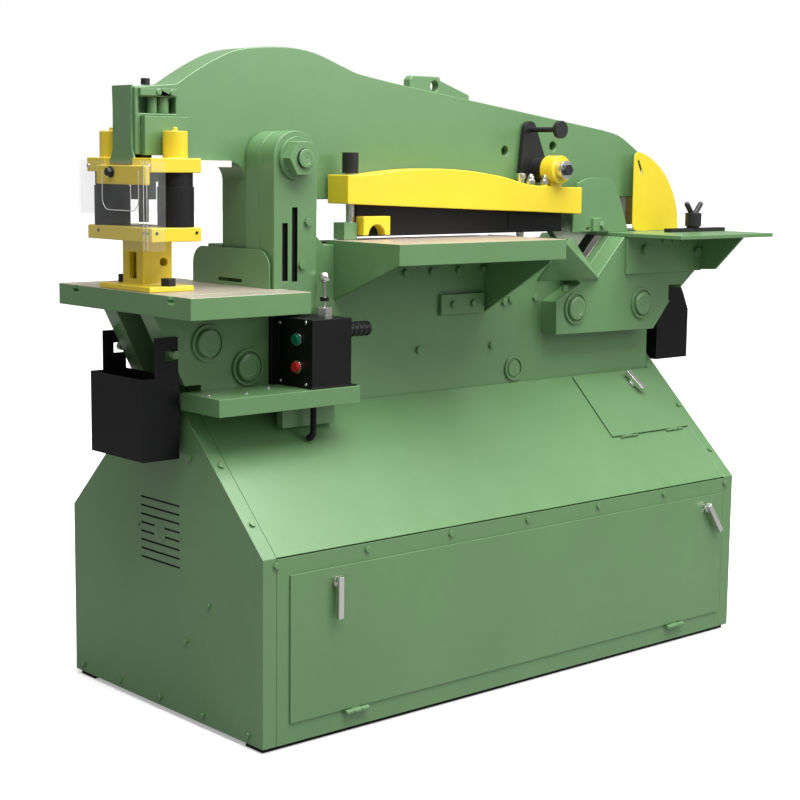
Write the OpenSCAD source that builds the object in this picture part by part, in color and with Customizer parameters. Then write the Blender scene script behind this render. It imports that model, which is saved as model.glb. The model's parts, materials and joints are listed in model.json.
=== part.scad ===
// Ironworker: a floor-standing hydraulic machine with one rocking beam.
// The beam turns on a pin and works a punch at its left end, a flat-bar
// shear and an angle shear in its middle, and a notcher at its right end.
// Millimetres, +Z up, +X along the machine, the operator stands at -Y.
// The origin is the middle of the base, on the floor.

/* [Cabinet] */
// Length of the base cabinet
base_l = 1560; // [1480:10:1800]
// Depth of the base cabinet
base_w = 754; // [700:2:900]
// Height at which the covers bend inwards
wall_h = 419; // [410:1:440]
// Height of the top of the end panels
ridge_h = 750; // [735:1:752]
// Thickness of the cabinet sheet
skin_t = 3; // [2:0.5:4]
// Width of the flange folded along each end panel
flange_w = 36; // [25:1:40]
// Height of the skid rails under the floor plate
skid_h = 24; // [20:1:30]
// Height of the front door
door_h = 323; // [250:1:323]
// Length of the front door
door_l = 1440; // [1200:10:1440]

/* [Main frame] */
// Thickness of each side plate of the frame
plate_t = 52; // [44:1:56]
// Gap between the two side plates
plate_gap = 94; // [92:1:100]
// Height of the top edge of the side plates
plate_top = 1048; // [1044:1:1050]
// Height of the pivot pin above the floor
pivot_z = 1243; // [1230:1:1260]
// Distance of the pivot pin from the left end of the base
pivot_in = 258; // [250:1:270]
// Radius of the pivot pin
pin_r = 35; // [28:1:36]
// Radius of the ear round the pivot pin
ear_r = 60; // [56:1:60]
// Thickness of the ear boss on the front side plate
boss_t = 53; // [40:1:56]
// Thickness of the end plates at the right
end_t = 52; // [40:1:56]

/* [Beam] */
// Thickness of the rocking beam
beam_t = 90; // [84:1:90]
// Wall of the bronze bush in the beam
bush_t = 7; // [5:1:10]
// Height of the underside of the nose
nose_z = 1232; // [1230:1:1234]
// Height of the top of the nose
nose_top = 1388; // [1380:1:1390]
// Height of the underside of the beam over the shears
belly_z = 1150; // [1146:1:1156]
// Distance from the pivot pin down to the cylinder pin
leg_l = 773; // [760:1:780]

/* [Punch station] */
// Distance of the punch in front of the pivot pin, along the beam
punch_in = 296; // [292:1:300]
// Height of the punch table
table_z = 958; // [950:1:965]
// Thickness of the punch table
table_t = 47; // [40:1:50]
// Half width of the punch table
table_hw = 262; // [230:1:300]
// Thickness of the yellow tool plates
tool_t = 30; // [26:1:30]
// Half width of the tool plates
tool_hw = 127; // [124:1:130]
// Height of the underside of the upper tool plate
upper_z = 1210; // [1208:1:1211]
// Height of the underside of the lower tool plate
lower_z = 1065; // [1060:1:1066]
// Radius of the guide posts
post_r = 16; // [12:0.5:18]
// Radius of the black sleeves round the guide posts
sleeve_r = 39; // [36:0.5:39]
// Radius of the punch
punch_r = 11; // [6:0.5:14]
// Gap round the punch in its die
die_gap = 0.6; // [0.4:0.1:1]

/* [Shear station] */
// Height of the shear table and the notcher table
shear_z = 1058; // [1056:1:1062]
// Length of the shear table
shear_l = 534; // [480:1:534]
// How far the shear table stands out from the frame
shear_w = 228; // [200:1:250]
// Depth of the hold-down bar, front to back
bar_t = 75; // [64:1:76]
// Thickness of the shear blades
blade_t = 23; // [16:1:24]

/* [Angle shear and notcher] */
// Distance of the bottom of the V from the middle of the machine
v_x = 471; // [465:1:476]
// Height of the bottom of the V
v_z = 944; // [942:1:950]
// Right edge of the notcher table
notch_x1 = 966; // [920:1:990]
// How far the notcher table stands out in front of the centre line
notch_w = 339; // [300:1:350]
// Outer radius of the notcher guard
guard_r = 217; // [205:1:220]

/* [Controls] */
// Length of the control shelf
shelf_l = 385; // [360:1:390]
// Height of the top of the control shelf
shelf_z = 740; // [732:1:742]
// Height of the control box
box_h = 153; // [140:1:156]
// Radius of the push buttons
button_r = 11; // [9:0.5:12]
// Travel of the push buttons
button_travel = 5; // [3:0.5:6]

/* [Hydraulics] */
// Outer radius of the hydraulic cylinder
cyl_r = 62; // [56:1:66]
// Radius of the piston rod
rod_r = 30; // [24:1:32]
// Radius of the motor
motor_r = 75; // [60:1:78]

/* [Hidden] */
$fn = 48;
half_l = base_l / 2;
half_w = base_w / 2;
ridge_hw = 34;                                  // half width of the flat ridge
slope_k = (ridge_h - wall_h) / (half_w - ridge_hw);
slope_a = atan(slope_k);                        // angle of the slope covers
toe_z = 11;                                     // panels stop this far off the floor
plate_i = plate_gap / 2;                        // inner face of a side plate
plate_o = plate_i + plate_t;                    // outer face of a side plate
pivot_x = pivot_in - half_l;
punch_x = pivot_x - punch_in;
beam_h = beam_t / 2;
slide_gap = 0.05;                               // running fit on a radius
loose = 1;                                      // gap round lids and doors
cyl_z = pivot_z - leg_l;                        // height of the cylinder axis
cyl_pin_x = pivot_x + 7;                        // the cylinder pin at rest
swing_up = 2.6;                                 // beam travel in the shearing sense
frame_x0 = -half_l + flange_w + 4;              // side plates inside the cabinet
frame_x1 = half_l - flange_w - 4;
floor_z = skid_h + 6;                           // top of the floor plate
tie_r = 20;                                     // tie bars through both side plates
spacer_r = 29;                                  // spacers round them, between the plates
cap_r = 41;                                     // round end caps of the upper tie bars
low_cap_r = 31;                                 // and of the ones inside the cabinet
ties_left = [[pivot_x - 201, 843], [pivot_x - 94, 783]];
ties_right = [[v_x - 80, 869], [v_x + 179, 870]];
ties_low = [[frame_x0 + 50, 130], [-60, 130], [frame_x1 - 100, 130], [220, 720]];
window = [pivot_x + 182, pivot_x + 712];        // opening round the cylinder, along X
port_y = cyl_r + 40;                            // mouths of the cylinder's ports
port_x = [pivot_x + 222, pivot_x + 662];        // the cylinder's two ports
tool_x0 = punch_x - 63;                         // tool plates, along X
tool_x1 = punch_x + 63;
posts = [[punch_x + 24, -87], [punch_x - 24, 87]];
table_x0 = punch_x - 59;
table_x1 = pivot_x - 42;
shear_x0 = -369;
bar_x0 = -352;                                  // hold-down bar, along X
bar_x1 = 433;
bar_y1 = -52;                                   // its rear face
bar_y0 = bar_y1 - bar_t;
stud_a = [-315, -90];                           // studs that guide the bar
stud_b = [260, -75];
crank = [338, 1222];                            // axis of the crank, x and z
crank_top = [306, 1322];                        // and of its knob
blade_x = [-262, 132];                          // length of the flat-bar blades
notch_x0 = 577;
die_x0 = 678;                                   // opening in the notcher table
die_x1 = 768;
guard_c = [662, shear_z + 1];                   // centre of the round guard
shelf_x0 = -794;
box_x0 = -537;                                  // control box
box_x1 = -425;
box_y0 = -232;
button_y = -182;
green_z = shelf_z + 107;
red_z = shelf_z + 46;
lever_at = [-454, -170];
hatch_x = [434, 739];                           // hatch in the front slope
hatch_s = [173, 375];                           // measured up the slope
tank_x = [120, 690];

// ---- helpers ---------------------------------------------------------

// An outline in x and z, made into a plate between y0 and y0 + t.
module plate_xz(points, y0, t) {
    translate([0, y0 + t, 0]) rotate([90, 0, 0]) linear_extrude(t) polygon(points);
}

// An outline in y and z, made into a plate between x0 and x0 + t.
module plate_yz(points, x0, t) {
    translate([x0, 0, 0]) rotate([90, 0, 90]) linear_extrude(t) polygon(points);
}

// Round bars along each axis.
module bar_x(r, x0, l, y, z) translate([x0, y, z]) rotate([0, 90, 0]) cylinder(r = r, h = l);
module bar_y(r, x, z, y0, l) translate([x, y0, z]) rotate([-90, 0, 0]) cylinder(r = r, h = l);
module bar_z(r, x, y, z0, l) translate([x, y, z0]) cylinder(r = r, h = l);

// A hexagon head of width af across its flats, proud of the plane y = y1.
module hex_y(x, z, y1, af, h) {
    translate([x, y1, z]) rotate([90, 0, 0]) cylinder(r = af / sqrt(3), h = h, $fn = 6);
}

// The same on top of the plane z = z0.
module hex_z(x, y, z0, af, h) {
    translate([x, y, z0]) cylinder(r = af / sqrt(3), h = h, $fn = 6);
}

// A box given by its lowest and highest corners.
module block(lo, hi) translate(lo) cube(hi - lo);

// Both sides of the machine.
module both() {
    children();
    mirror([0, 1, 0]) children();
}

// Height of the slope covers at a distance y from the centre plane.
function slope_z(y) = wall_h + (half_w - abs(y)) * slope_k;

// The end panels' outline, set in by a distance i.
function house(i, z0) = let (lift = i / cos(slope_a), y1 = half_w - i,
    z1 = wall_h + i * slope_k - lift, zr = ridge_h - i,
    yr = half_w - (zr - wall_h + lift) / slope_k)
    [[-y1, z0], [-y1, z1], [-yr, zr], [yr, zr], [y1, z1], [y1, z0]];

// Points of an arc in x and z.
function arc(cx, cz, r, a0, a1, n) = [for (i = [0 : n])
    let (a = a0 + (a1 - a0) * i / n) [cx + r * cos(a), cz + r * sin(a)]];

// Points of a smooth curve that passes through each point of a list, n to a span.
function smooth(p, n) = [for (i = [0 : len(p) - 2]) for (j = [0 : n - 1])
    let (a = p[max(i - 1, 0)], b = p[i], c = p[i + 1], d = p[min(i + 2, len(p) - 1)], t = j / n)
    (2 * b + (c - a) * t + (2 * a - 5 * b + 4 * c - d) * t * t
        + (3 * b - a - 3 * c + d) * t * t * t) / 2];

// Places its children on the front slope: x along, y up the slope, z outwards.
module on_slope() translate([0, -half_w, wall_h]) rotate([slope_a, 0, 0]) children();

// ---- cabinet ---------------------------------------------------------

anchor_x = half_l - 180;                        // holes for the floor anchors
anchor_y = half_w - 42;

module base_frame() color("dimgray") difference() {
    union() {
        block([-half_l + 8, -half_w + 8, skid_h], [half_l - 8, half_w - 8, floor_z]);
        both() block([-half_l + 8, -half_w + 12, 0], [half_l - 8, -half_w + 72, skid_h]);
        block([-60, -half_w + 60, 0], [60, half_w - 60, skid_h]);
    }
    for (x = [-anchor_x, anchor_x]) for (y = [-anchor_y, anchor_y]) bar_z(9, x, y, -1, floor_z + 2);
}

module end_panel() {
    difference() {
        plate_yz(house(0, toe_z), -half_l, flange_w);
        plate_yz(house(skin_t, toe_z - 1), -half_l + skin_t, flange_w);
        for (i = [0 : 7]) louvre(i);
    }
}

module louvre(i) {
    block([-half_l - 1, -71, 343 + 19.8 * i], [-half_l + skin_t + 1, 83, 347 + 19.8 * i]);
}

module end_panel_left() color("darkseagreen") end_panel();
module end_panel_right() color("darkseagreen") mirror([1, 0, 0]) end_panel();

side_x = half_l - flange_w - 0.5;               // covers fit between the flanges
door_z0 = 55;
door_x0 = 10 - door_l / 2;
door_x1 = 10 + door_l / 2;
lap = 10;                                       // the door laps over its opening
hinge_y = -half_w - 8;
hinge_z = door_z0 - 6;
hinges_at = [door_x0 + 180, door_x1 - 180];

module front_panel() {
    color("darkseagreen") {
        difference() {
            block([-side_x, -half_w, toe_z], [side_x, -half_w + skin_t, wall_h - 3]);
            block([door_x0 + lap, -half_w - 1, door_z0 + lap],
                [door_x1 - lap, -half_w + skin_t + 1, door_z0 + door_h - lap]);
        }
        for (x = hinges_at) for (s = [-1, 1]) difference() {
            union() {
                bar_x(6, x + s * 22 - 10, 20, hinge_y, hinge_z);
                block([x + s * 22 - 10, hinge_y, hinge_z - 6], [x + s * 22 + 10, -half_w, hinge_z + 2]);
            }
            bar_x(3, x + s * 22 - 11, 22, hinge_y, hinge_z);
        }
    }
    color("silver") for (x = hinges_at) bar_x(3, x - 32, 64, hinge_y, hinge_z);
}

module front_door() color("darkseagreen") {
    difference() {
        union() {
            block([door_x0, -half_w - skin_t - loose, door_z0],
                [door_x1, -half_w - loose, door_z0 + door_h]);
            door_rim();
            for (x = hinges_at) {
                bar_x(6, x - 11.5, 23, hinge_y, hinge_z);
                block([x - 11.5, -half_w - skin_t - loose, hinge_z],
                    [x + 11.5, -half_w - loose, door_z0 + 1]);
            }
        }
        for (x = hinges_at) bar_x(3 + slide_gap, x - 13, 26, hinge_y, hinge_z);
        for (p = [latch_a, latch_b]) bar_y(5 + slide_gap, p[0], p[1], -half_w - 10, 20);
    }
}

// The folded rim behind the door, inside its opening.
module door_rim() {
    in = lap + 4;
    difference() {
        block([door_x0 + in, -half_w - loose - 0.5, door_z0 + in],
            [door_x1 - in, -half_w + 18, door_z0 + door_h - in]);
        block([door_x0 + in + skin_t, -half_w - loose, door_z0 + in + skin_t],
            [door_x1 - in - skin_t, -half_w + 19, door_z0 + door_h - in - skin_t]);
    }
}

latch_a = [-587, door_z0 + door_h - 32];
latch_b = [668, door_z0 + door_h - 32];

module latch(p, turn) color("dimgray") {
    face = -half_w - skin_t - loose;
    bar_y(5, p[0], p[1], face - 1, 24);
    bar_y(12, p[0], p[1], face - 9, 8.7);
    bar_y(10, p[0], p[1], face + skin_t + 1, 5);
    translate([p[0], 0, p[1]]) rotate([0, turn, 0])
        block([-7, face - 19, -80], [7, face - 8, 12]);
}

module latch_left() latch(latch_a, 0);
module latch_right() latch(latch_b, -35);

module rear_panel() color("darkseagreen")
    block([-side_x, half_w - skin_t, toe_z], [side_x, half_w, wall_h - 3]);

slope_l = (half_w - plate_o - 1 - skin_t * sin(slope_a)) / cos(slope_a);

module slope_sheet() on_slope()
    block([-side_x, 1, -skin_t], [side_x, slope_l, 0]);

hatch_hinge = [hatch_s[0] - 4, 3];              // up the slope, and out from it
hatch_hinges = [hatch_x[0] + 50, hatch_x[1] - 74];

module slope_cover_front() {
    color("darkseagreen") difference() {
        union() {
            slope_sheet();
            for (x = hatch_hinges) for (e = [-21, 25]) hatch_knuckle(x + e, 20, -0.5);
        }
        on_slope() block([hatch_x[0] + lap, hatch_s[0] + lap, -skin_t - 1],
            [hatch_x[1] - lap, hatch_s[1] - lap, 1]);
        for (x = hatch_hinges) hatch_bar(1.5, x - 22, 68);
    }
    color("silver") for (x = hatch_hinges) hatch_bar(1.5, x - 21, 66);
}

// A round bar on the hatch's hinge line.
module hatch_bar(r, x, l) on_slope() bar_x(r, x, l, hatch_hinge[0], hatch_hinge[1]);

// A hinge barrel with its foot down to a height z over the slope.
module hatch_knuckle(x, l, z) {
    hatch_bar(3, x, l);
    on_slope() block([x, hatch_hinge[0] - 3, z], [x + l, hatch_hinge[0] + 3, hatch_hinge[1]]);
}

module slope_cover_rear() color("darkseagreen") mirror([0, 1, 0]) slope_sheet();

hatch_t = 4;
handle_at = [634, hatch_s[1] - 45];

module hatch_lid() color("darkseagreen") difference() {
    union() {
        on_slope() {
            block([hatch_x[0], hatch_s[0], loose], [hatch_x[1], hatch_s[1], loose + hatch_t]);
            for (x = hatch_hinges)
                block([x, hatch_hinge[0], hatch_hinge[1]], [x + 24, hatch_s[0] + 1, loose + hatch_t]);
            hatch_rim();
        }
        for (x = hatch_hinges) hatch_bar(2.8, x, 24);
    }
    for (x = hatch_hinges) hatch_bar(1.5 + slide_gap, x - 1, 26);
    on_slope() translate([handle_at[0], handle_at[1], -20]) cylinder(r = 6 + slide_gap, h = 40);
}

module hatch_rim() difference() {
    block([hatch_x[0] + lap + 3, hatch_s[0] + lap + 6, -14],
        [hatch_x[1] - lap - 3, hatch_s[1] - lap - 3, loose + 1]);
    block([hatch_x[0] + lap + 6, hatch_s[0] + lap + 9, -15],
        [hatch_x[1] - lap - 6, hatch_s[1] - lap - 6, loose]);
}

module hatch_handle() color("black") on_slope() translate([handle_at[0], handle_at[1], 0]) {
    translate([0, 0, -6]) cylinder(r = 6, h = 24);
    translate([0, 0, loose + hatch_t + 0.3]) cylinder(r = 13, h = 8);
    translate([0, 0, -8]) cylinder(r = 12, h = 8);
    rotate([0, 0, -78]) block([-33, -8, 14], [33, 8, 26]);
}

module cabinet_screws() color("silver") {
    for (i = [0 : 6]) {
        for (s = [0, 1]) mirror([0, s, 0])
            hex_y((i - 3) * (half_l - 34) / 3, wall_h - 16, -half_w, 13, 5);
    }
    for (s = [90, 246]) for (m = [0, 1]) for (e = [-1, 1]) mirror([0, m, 0]) on_slope()
        hex_z(e * (half_l - 20), s, 0, 13, 5);
    for (p = [[-182, 282], [-95, 183], [-115, 598], [341, 30], [178, 30], [11, 30],
        [-157, 30], [-325, 30]]) for (m = [0, 1]) mirror([m, 0, 0])
        translate([-half_l, p[0], p[1]]) rotate([0, -90, 0]) cylinder(r = 13 / sqrt(3), h = 5, $fn = 6);
}

// ---- main frame ------------------------------------------------------

v_hw = plate_top - v_z;                         // the V is square, so it is as wide as deep
plate_left = [[frame_x0, floor_z], [frame_x0, ridge_h + 2], [-half_l - 2, ridge_h + 2],
    [table_x0 + 15, table_z - table_t], [pivot_x - ear_r, table_z - table_t]];
plate_right = [[v_x - v_hw, plate_top], [v_x, v_z], [v_x + v_hw, plate_top],
    [frame_x1, plate_top], [frame_x1, floor_z]];
plate_ear = concat(arc(pivot_x, pivot_z, ear_r, 180, 0, 24),
    [[pivot_x + ear_r, 1110], [shear_x0 - 30, plate_top]]);

module frame_plate(middle) difference() {
    plate_xz(concat(plate_left, middle, plate_right), -plate_o, plate_t);
    for (p = concat(ties_left, ties_right, ties_low)) bar_y(tie_r, p[0], p[1], -plate_o - 1, plate_t + 2);
    block([window[0], -plate_o - 1, cyl_z - 80], [window[1], -plate_i + 1, cyl_z + 80]);
    bar_y(tie_r, window[1] + 50, cyl_z, -plate_o - 1, plate_t + 2);
}

module frame_plate_front() color("darkseagreen") difference() {
    frame_plate(plate_ear);
    bar_y(pin_r, pivot_x, pivot_z, -plate_o - 1, plate_t + 2);
    v_band(blade_t + 1);
}

// The rear plate has no ear: the pin is held by the front one alone.
module frame_plate_rear() color("darkseagreen")
    mirror([0, 1, 0]) frame_plate([[pivot_x - ear_r, plate_top]]);

// Round spacers between the plates, with a tie bar through each.
module frame_spacers() {
    color("gray") for (p = concat(ties_left, ties_right, ties_low)) difference() {
        bar_y(spacer_r, p[0], p[1], -plate_i, plate_gap);
        bar_y(tie_r, p[0], p[1], -plate_i - 1, plate_gap + 2);
    }
    color("darkseagreen") {
        for (p = ties_left) tie_bar(p, plate_o, cap_r);
        for (p = ties_low) tie_bar(p, plate_o, low_cap_r);
        for (p = ties_right) tie_bar(p, plate_o + end_t, cap_r);
    }
}

// A tie bar that ends in a round cap of radius r with a ring-shaped groove.
module tie_bar(p, y, r) {
    bar_y(tie_r, p[0], p[1], -y, 2 * y);
    both() difference() {
        bar_y(r, p[0], p[1], -y - 6, 6);
        difference() {
            bar_y(r - 5, p[0], p[1], -y - 7, 5);
            bar_y(r - 11, p[0], p[1], -y - 8, 7);
        }
    }
}

ear_z0 = 900;                                   // foot of the ear boss
ear_outline = concat([[pivot_x - ear_r, ear_z0]], arc(pivot_x, pivot_z, ear_r, 180, 0, 24),
    [[pivot_x + ear_r, ear_z0]]);

module ear_boss() color("darkseagreen") difference() {
    plate_xz(ear_outline, -plate_o - boss_t, boss_t);
    bar_y(pin_r, pivot_x, pivot_z, -plate_o - boss_t - 1, boss_t + 2);
    block([pivot_x - 36, -plate_o - boss_t - 1, 974], [pivot_x - 22, -plate_o - boss_t + 8, 1101]);
    block([pivot_x - 9, -plate_o - boss_t - 1, 972], [pivot_x + 5, -plate_o - boss_t + 8, 1135]);
}

end_x1 = 900;
hook_pin = [824, 928];                          // the right bucket hangs on this pin
edge_cut = [764, 813];                          // notch in the lower edge, beside the pin
end_outline = [[323, 803], [320, 888], [v_x - 61, v_z - 12], [v_x - v_hw, v_z + 22],
    [v_x - v_hw, plate_top], [v_x, v_z], [v_x + v_hw, plate_top], [end_x1, plate_top],
    [end_x1, 975], [882, 956], [771, 872], [705, 798]];

module end_plates() color("darkseagreen") both() difference() {
    plate_xz(end_outline, -plate_o - end_t, end_t);
    for (p = ties_right) bar_y(tie_r, p[0], p[1], -plate_o - end_t - 1, end_t + 2);
    block([edge_cut[0], -plate_o - end_t - 1, 872], [edge_cut[1], -plate_o + 1, 914]);
}

washer_t = 8;
nut_t = 25;
stub_r = 21;                                    // threaded ends of the pin
stub_l = washer_t + nut_t + 5;
pin_y0 = -plate_o - boss_t;                     // the pin's shoulders
pin_y1 = beam_h + 0.5;

module pivot_pin() color("dimgray") {
    bar_y(pin_r, pivot_x, pivot_z, pin_y0, pin_y1 - pin_y0);
    bar_y(stub_r, pivot_x, pivot_z, pin_y0 - stub_l, pin_y1 - pin_y0 + 2 * stub_l);
}

// A washer and a nut outside the shoulder at a distance y in front of the middle.
module pivot_nut(y) difference() {
    union() {
        bar_y(47.5, pivot_x, pivot_z, -y - washer_t, washer_t);
        hex_y(pivot_x, pivot_z, -y - washer_t, 72, nut_t);
    }
    bar_y(stub_r, pivot_x, pivot_z, -y - stub_l - 1, stub_l + 2);
}

module pivot_nuts() color("darkseagreen") {
    pivot_nut(-pin_y0);
    mirror([0, 1, 0]) pivot_nut(pin_y1);
}

// ---- beam ------------------------------------------------------------

bush_r = pin_r + slide_gap + bush_t;
block_x = [punch_x - 34, punch_x + 77];         // the punch holder block in the nose
block_top = 1328;
foot_z = upper_z + tool_t + 7;                  // the nose clears the upper tool plate
nose_x0 = punch_x - 48;
leg_r = 50;
beam_x1 = 760;
throat_r = 40;
beam_hump = [[-761, 1398], [-703, 1433], [-638, 1465], [-578, 1482], [-473, 1490], [-384, 1481],
    [-291, 1451], [-244, 1438], [-119, 1419]];
beam_tail = [[593, 1328], [660, 1315], [706, 1293], [750, 1268]];
beam_outline = concat(
    [[nose_x0, foot_z], [nose_x0, nose_top]], smooth(beam_hump, 4), smooth(beam_tail, 4),
    [[beam_x1, 1250], [beam_x1, belly_z],
     [pivot_x + 78, belly_z], [pivot_x + 62, 1040]],
    arc(cyl_pin_x, cyl_z, leg_r, 0, -180, 24),
    [[pivot_x - 37, 960], [pivot_x - 58, 1055]],
    arc(pivot_x - 58 - throat_r, nose_z - throat_r, throat_r, 0, 90, 10),
    [[block_x[1] + 6, nose_z], [block_x[1], foot_z]]);
lug_outline = [[-65, 1400], [-65, 1436], [-56, 1445], [33, 1445], [36, 1436], [134, 1404], [134, 1380]];

module beam() color("darkseagreen") difference() {
    union() {
        plate_xz(beam_outline, -beam_h, beam_t);
        plate_xz(lug_outline, -12, 24);
    }
    bar_y(bush_r, pivot_x, pivot_z, -beam_h - 1, beam_t + 2);
    bar_y(24, cyl_pin_x, cyl_z, -beam_h - 1, beam_t + 2);
    block([cyl_pin_x - 80, -eye_t / 2 - 1.5, cyl_z - 80], [cyl_pin_x + 80, eye_t / 2 + 1.5, cyl_z + 64]);
    block([block_x[0], -beam_h - 1, nose_z - 1], [block_x[1], beam_h + 1, block_top]);
    block([punch_x - 39, -beam_h - 1, block_top + 6], [punch_x + 54, -18, block_top + 40]);
    bar_y(12, 231, 1268, -beam_h - 1, beam_t + 2);
    bar_y(12, 406, 1282, -beam_h - 1, beam_t + 2);
    bar_y(13, 16, 1422, -20, 40);
}

waist = [[-51, foot_z - 19], [-50, foot_z - 14], [-37, 1257], [-36, 1342], [-38, nose_top + 4]];

module nose_end_plate() color("darkseagreen")
    plate_yz(concat(waist, [for (i = [len(waist) - 1 : -1 : 0]) [-waist[i][0], waist[i][1]]]),
        nose_x0 - 5, 5);

stem_r = 18;
head_r = 28;
play = 4;                                       // room for the punch head in its pocket

module nose_blocks() {
    color("darkseagreen") difference() {
        block([block_x[0], -60, foot_z - 1], [block_x[1], 60, block_top]);
        bar_z(stem_r + play, punch_x, 0, 1240, 40);
        bar_z(head_r + play, punch_x, 0, 1276, 30);
    }
    color("black") {
        block([punch_x - 39, -beam_h - 8, block_top + 42], [punch_x + 54, -beam_h, nose_top - 2]);
        bar_z(11, punch_x + 2, -32, block_top + 6, 34);
        hex_z(punch_x + 7, 0, nose_top + 6.7, 19, 14);
        for (x = [punch_x + 6, punch_x + 40]) bar_y(6, x, nose_top - 10, -beam_h - 12, 4);
    }
    color("seagreen") bar_z(13, punch_x + 29, -32, block_top + 6, 34);
}

module pivot_bush() color("goldenrod") difference() {
    bar_y(bush_r, pivot_x, pivot_z, -beam_h, beam_t);
    bar_y(pin_r + slide_gap, pivot_x, pivot_z, -beam_h - 1, beam_t + 2);
}

// Height of the moving flat blade's edge: it lies level once the beam is down.
function rake_z(x) = shear_z - 2 + (x - pivot_x) * tan(swing_up);

tip = [v_x + 11, v_z + 48];
tip_w = v_hw + 10;
punch_hw = 44;                                  // half width of the notching punch

module upper_blades() color("gray") {
    plate_xz([[blade_x[0], rake_z(blade_x[0])], [blade_x[1], rake_z(blade_x[1])],
        [blade_x[1], belly_z], [blade_x[0], belly_z]], -beam_h, blade_t);
    plate_xz([[tip[0], tip[1]], [tip[0] + tip_w, tip[1] + tip_w], [tip[0] + tip_w, belly_z],
        [tip[0] - tip_w, belly_z], [tip[0] - tip_w, tip[1] + tip_w]], -beam_h, blade_t);
    block([die_x0 + 19, -punch_hw, shear_z + 17], [beam_x1, punch_hw, belly_z]);
}

// ---- punch station ---------------------------------------------------

table_cut_x = pivot_x - ear_r - 3;
table_cut_y = plate_o + boss_t + 3;
slug_hw = 30;                                   // half width of the slug hole in the table

module punch_table() color("darkseagreen") difference() {
    block([table_x0, -table_hw, table_z - table_t], [table_x1, table_hw, table_z]);
    block([table_cut_x, -table_cut_y, table_z - table_t - 1], [table_x1 + 1, table_cut_y, table_z + 1]);
    for (s = [-1, 1]) {
        block([table_x0 - 1, s * 190 - 7, table_z - 9], [table_x1 + 1, s * 190 + 7, table_z + 1]);
        block([table_x0 - 1, s * 190 - 12, table_z - 17], [table_x1 + 1, s * 190 + 12, table_z - 9]);
    }
    block([punch_x - slug_hw, -slug_hw, table_z - table_t - 1], [punch_x + slug_hw, slug_hw, table_z + 1]);
}

foot_t = 12;
column_x = [punch_x - 30, punch_x + 46];
column_wall = 14;

module tool_plate(z, r) difference() {
    block([tool_x0, -tool_hw, z], [tool_x1, tool_hw, z + tool_t]);
    for (p = posts) bar_z(r, p[0], p[1], z - 1, tool_t + 2);
    children();
}

// One casting: the foot on the table, the column, and the lower tool plate.
module tool_base() color("gold") difference() {
    union() {
        tool_plate(lower_z, post_r);
        block([column_x[0], -40, table_z], [column_x[1], 40, lower_z + 1]);
        block([punch_x - 52, -100, table_z], [punch_x + 62, 100, table_z + foot_t]);
    }
    block([column_x[0] + column_wall, -40 + column_wall, table_z - 1],
        [column_x[1] - column_wall, 40 - column_wall, lower_z]);
    bar_z(20, punch_x, 0, lower_z - 1, 12);
    bar_z(die_r, punch_x, 0, lower_z + 10, tool_t);
    block([column_x[0] - 1, -14, table_z + 24], [punch_x, 14, lower_z - 26]);
    bar_y(9, punch_x + 24, table_z + 60, -41, 82);
}

die_r = 28;

module punch_die() color("silver") difference() {
    bar_z(die_r, punch_x, 0, lower_z + 10, tool_t - 8);
    bar_z(punch_r + die_gap, punch_x, 0, lower_z + 9, tool_t);
}

collar_top = 1180;

module guide_posts() {
    color("silver") for (p = posts) bar_z(post_r, p[0], p[1], lower_z, 1255 - lower_z);
    color("black") for (p = posts) difference() {
        bar_z(sleeve_r, p[0], p[1], lower_z + tool_t, collar_top - lower_z - tool_t);
        bar_z(sleeve_r - 1.6, p[0], p[1], lower_z + tool_t - 1, 100);
    }
}

tab_x0 = tool_x0 - 14;

module upper_tool_plate() color("gold") {
    tool_plate(upper_z, post_r + slide_gap) {
        bar_z(20, punch_x, 0, upper_z - 1, tool_t + 2);
        block([tool_x0 - 1, -54, foot_z - 26], [nose_x0 + 6, 54, upper_z + tool_t + 1]);
    }
    block([tab_x0, -123, upper_z - 26], [tool_x0, 66, upper_z + 14]);
    for (p = posts) difference() {
        union() {
            bar_z(26.5, p[0], p[1], upper_z + tool_t, 57);
            bar_z(5, p[0], p[1], upper_z + tool_t + 57, 8);
        }
        bar_z(post_r + 2, p[0], p[1], upper_z + tool_t - 1, 50);
    }
}

module upper_sleeves() color("black") for (p = posts) difference() {
    bar_z(sleeve_r - 2.2, p[0], p[1], 1126, upper_z - 1126);
    bar_z(sleeve_r - 5, p[0], p[1], 1125, upper_z - 1124);
}

module punch_ram() color("dimgray") {
    bar_z(head_r, punch_x, 0, 1280, 20);
    bar_z(stem_r, punch_x, 0, upper_z + tool_t, 1280 - upper_z - tool_t);
    bar_z(20, punch_x, 0, upper_z, tool_t);
    bar_z(34, punch_x, 0, upper_z - 20, 20);
    bar_z(27, punch_x, 0, upper_z - 58, 38);
    bar_z(punch_r, punch_x, 0, lower_z + tool_t + 8, upper_z - 58 - lower_z - tool_t - 8);
}

sheet_x0 = tab_x0 - 3;

// A clear sheet bent into a U, hung on the upper tool plate.
module clear_guard() color("azure", 0.4) {
    difference() {
        block([sheet_x0, -137, 1047], [sheet_x0 + 46, 133, 1234]);
        block([sheet_x0 + 3, -134, 1046], [sheet_x0 + 47, 130, 1235]);
    }
    block([tool_x1, -58, upper_z + 12], [tool_x1 + 128, -beam_h - 2.5, upper_z + 26]);
}

module table_guard() color("darkseagreen") difference() {
    plate_yz(concat([[147, table_z], [147, 1002]], arc(107, 1002, 40, 15, 90, 6),
        arc(-107, 1002, 40, 90, 165, 6), [[-147, 1002], [-147, table_z]]), pivot_x - 69, 3);
    block([pivot_x - 70, -45, table_z + 8], [pivot_x - 65, 45, table_z + 16]);
}

// ---- shear station ---------------------------------------------------

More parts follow.
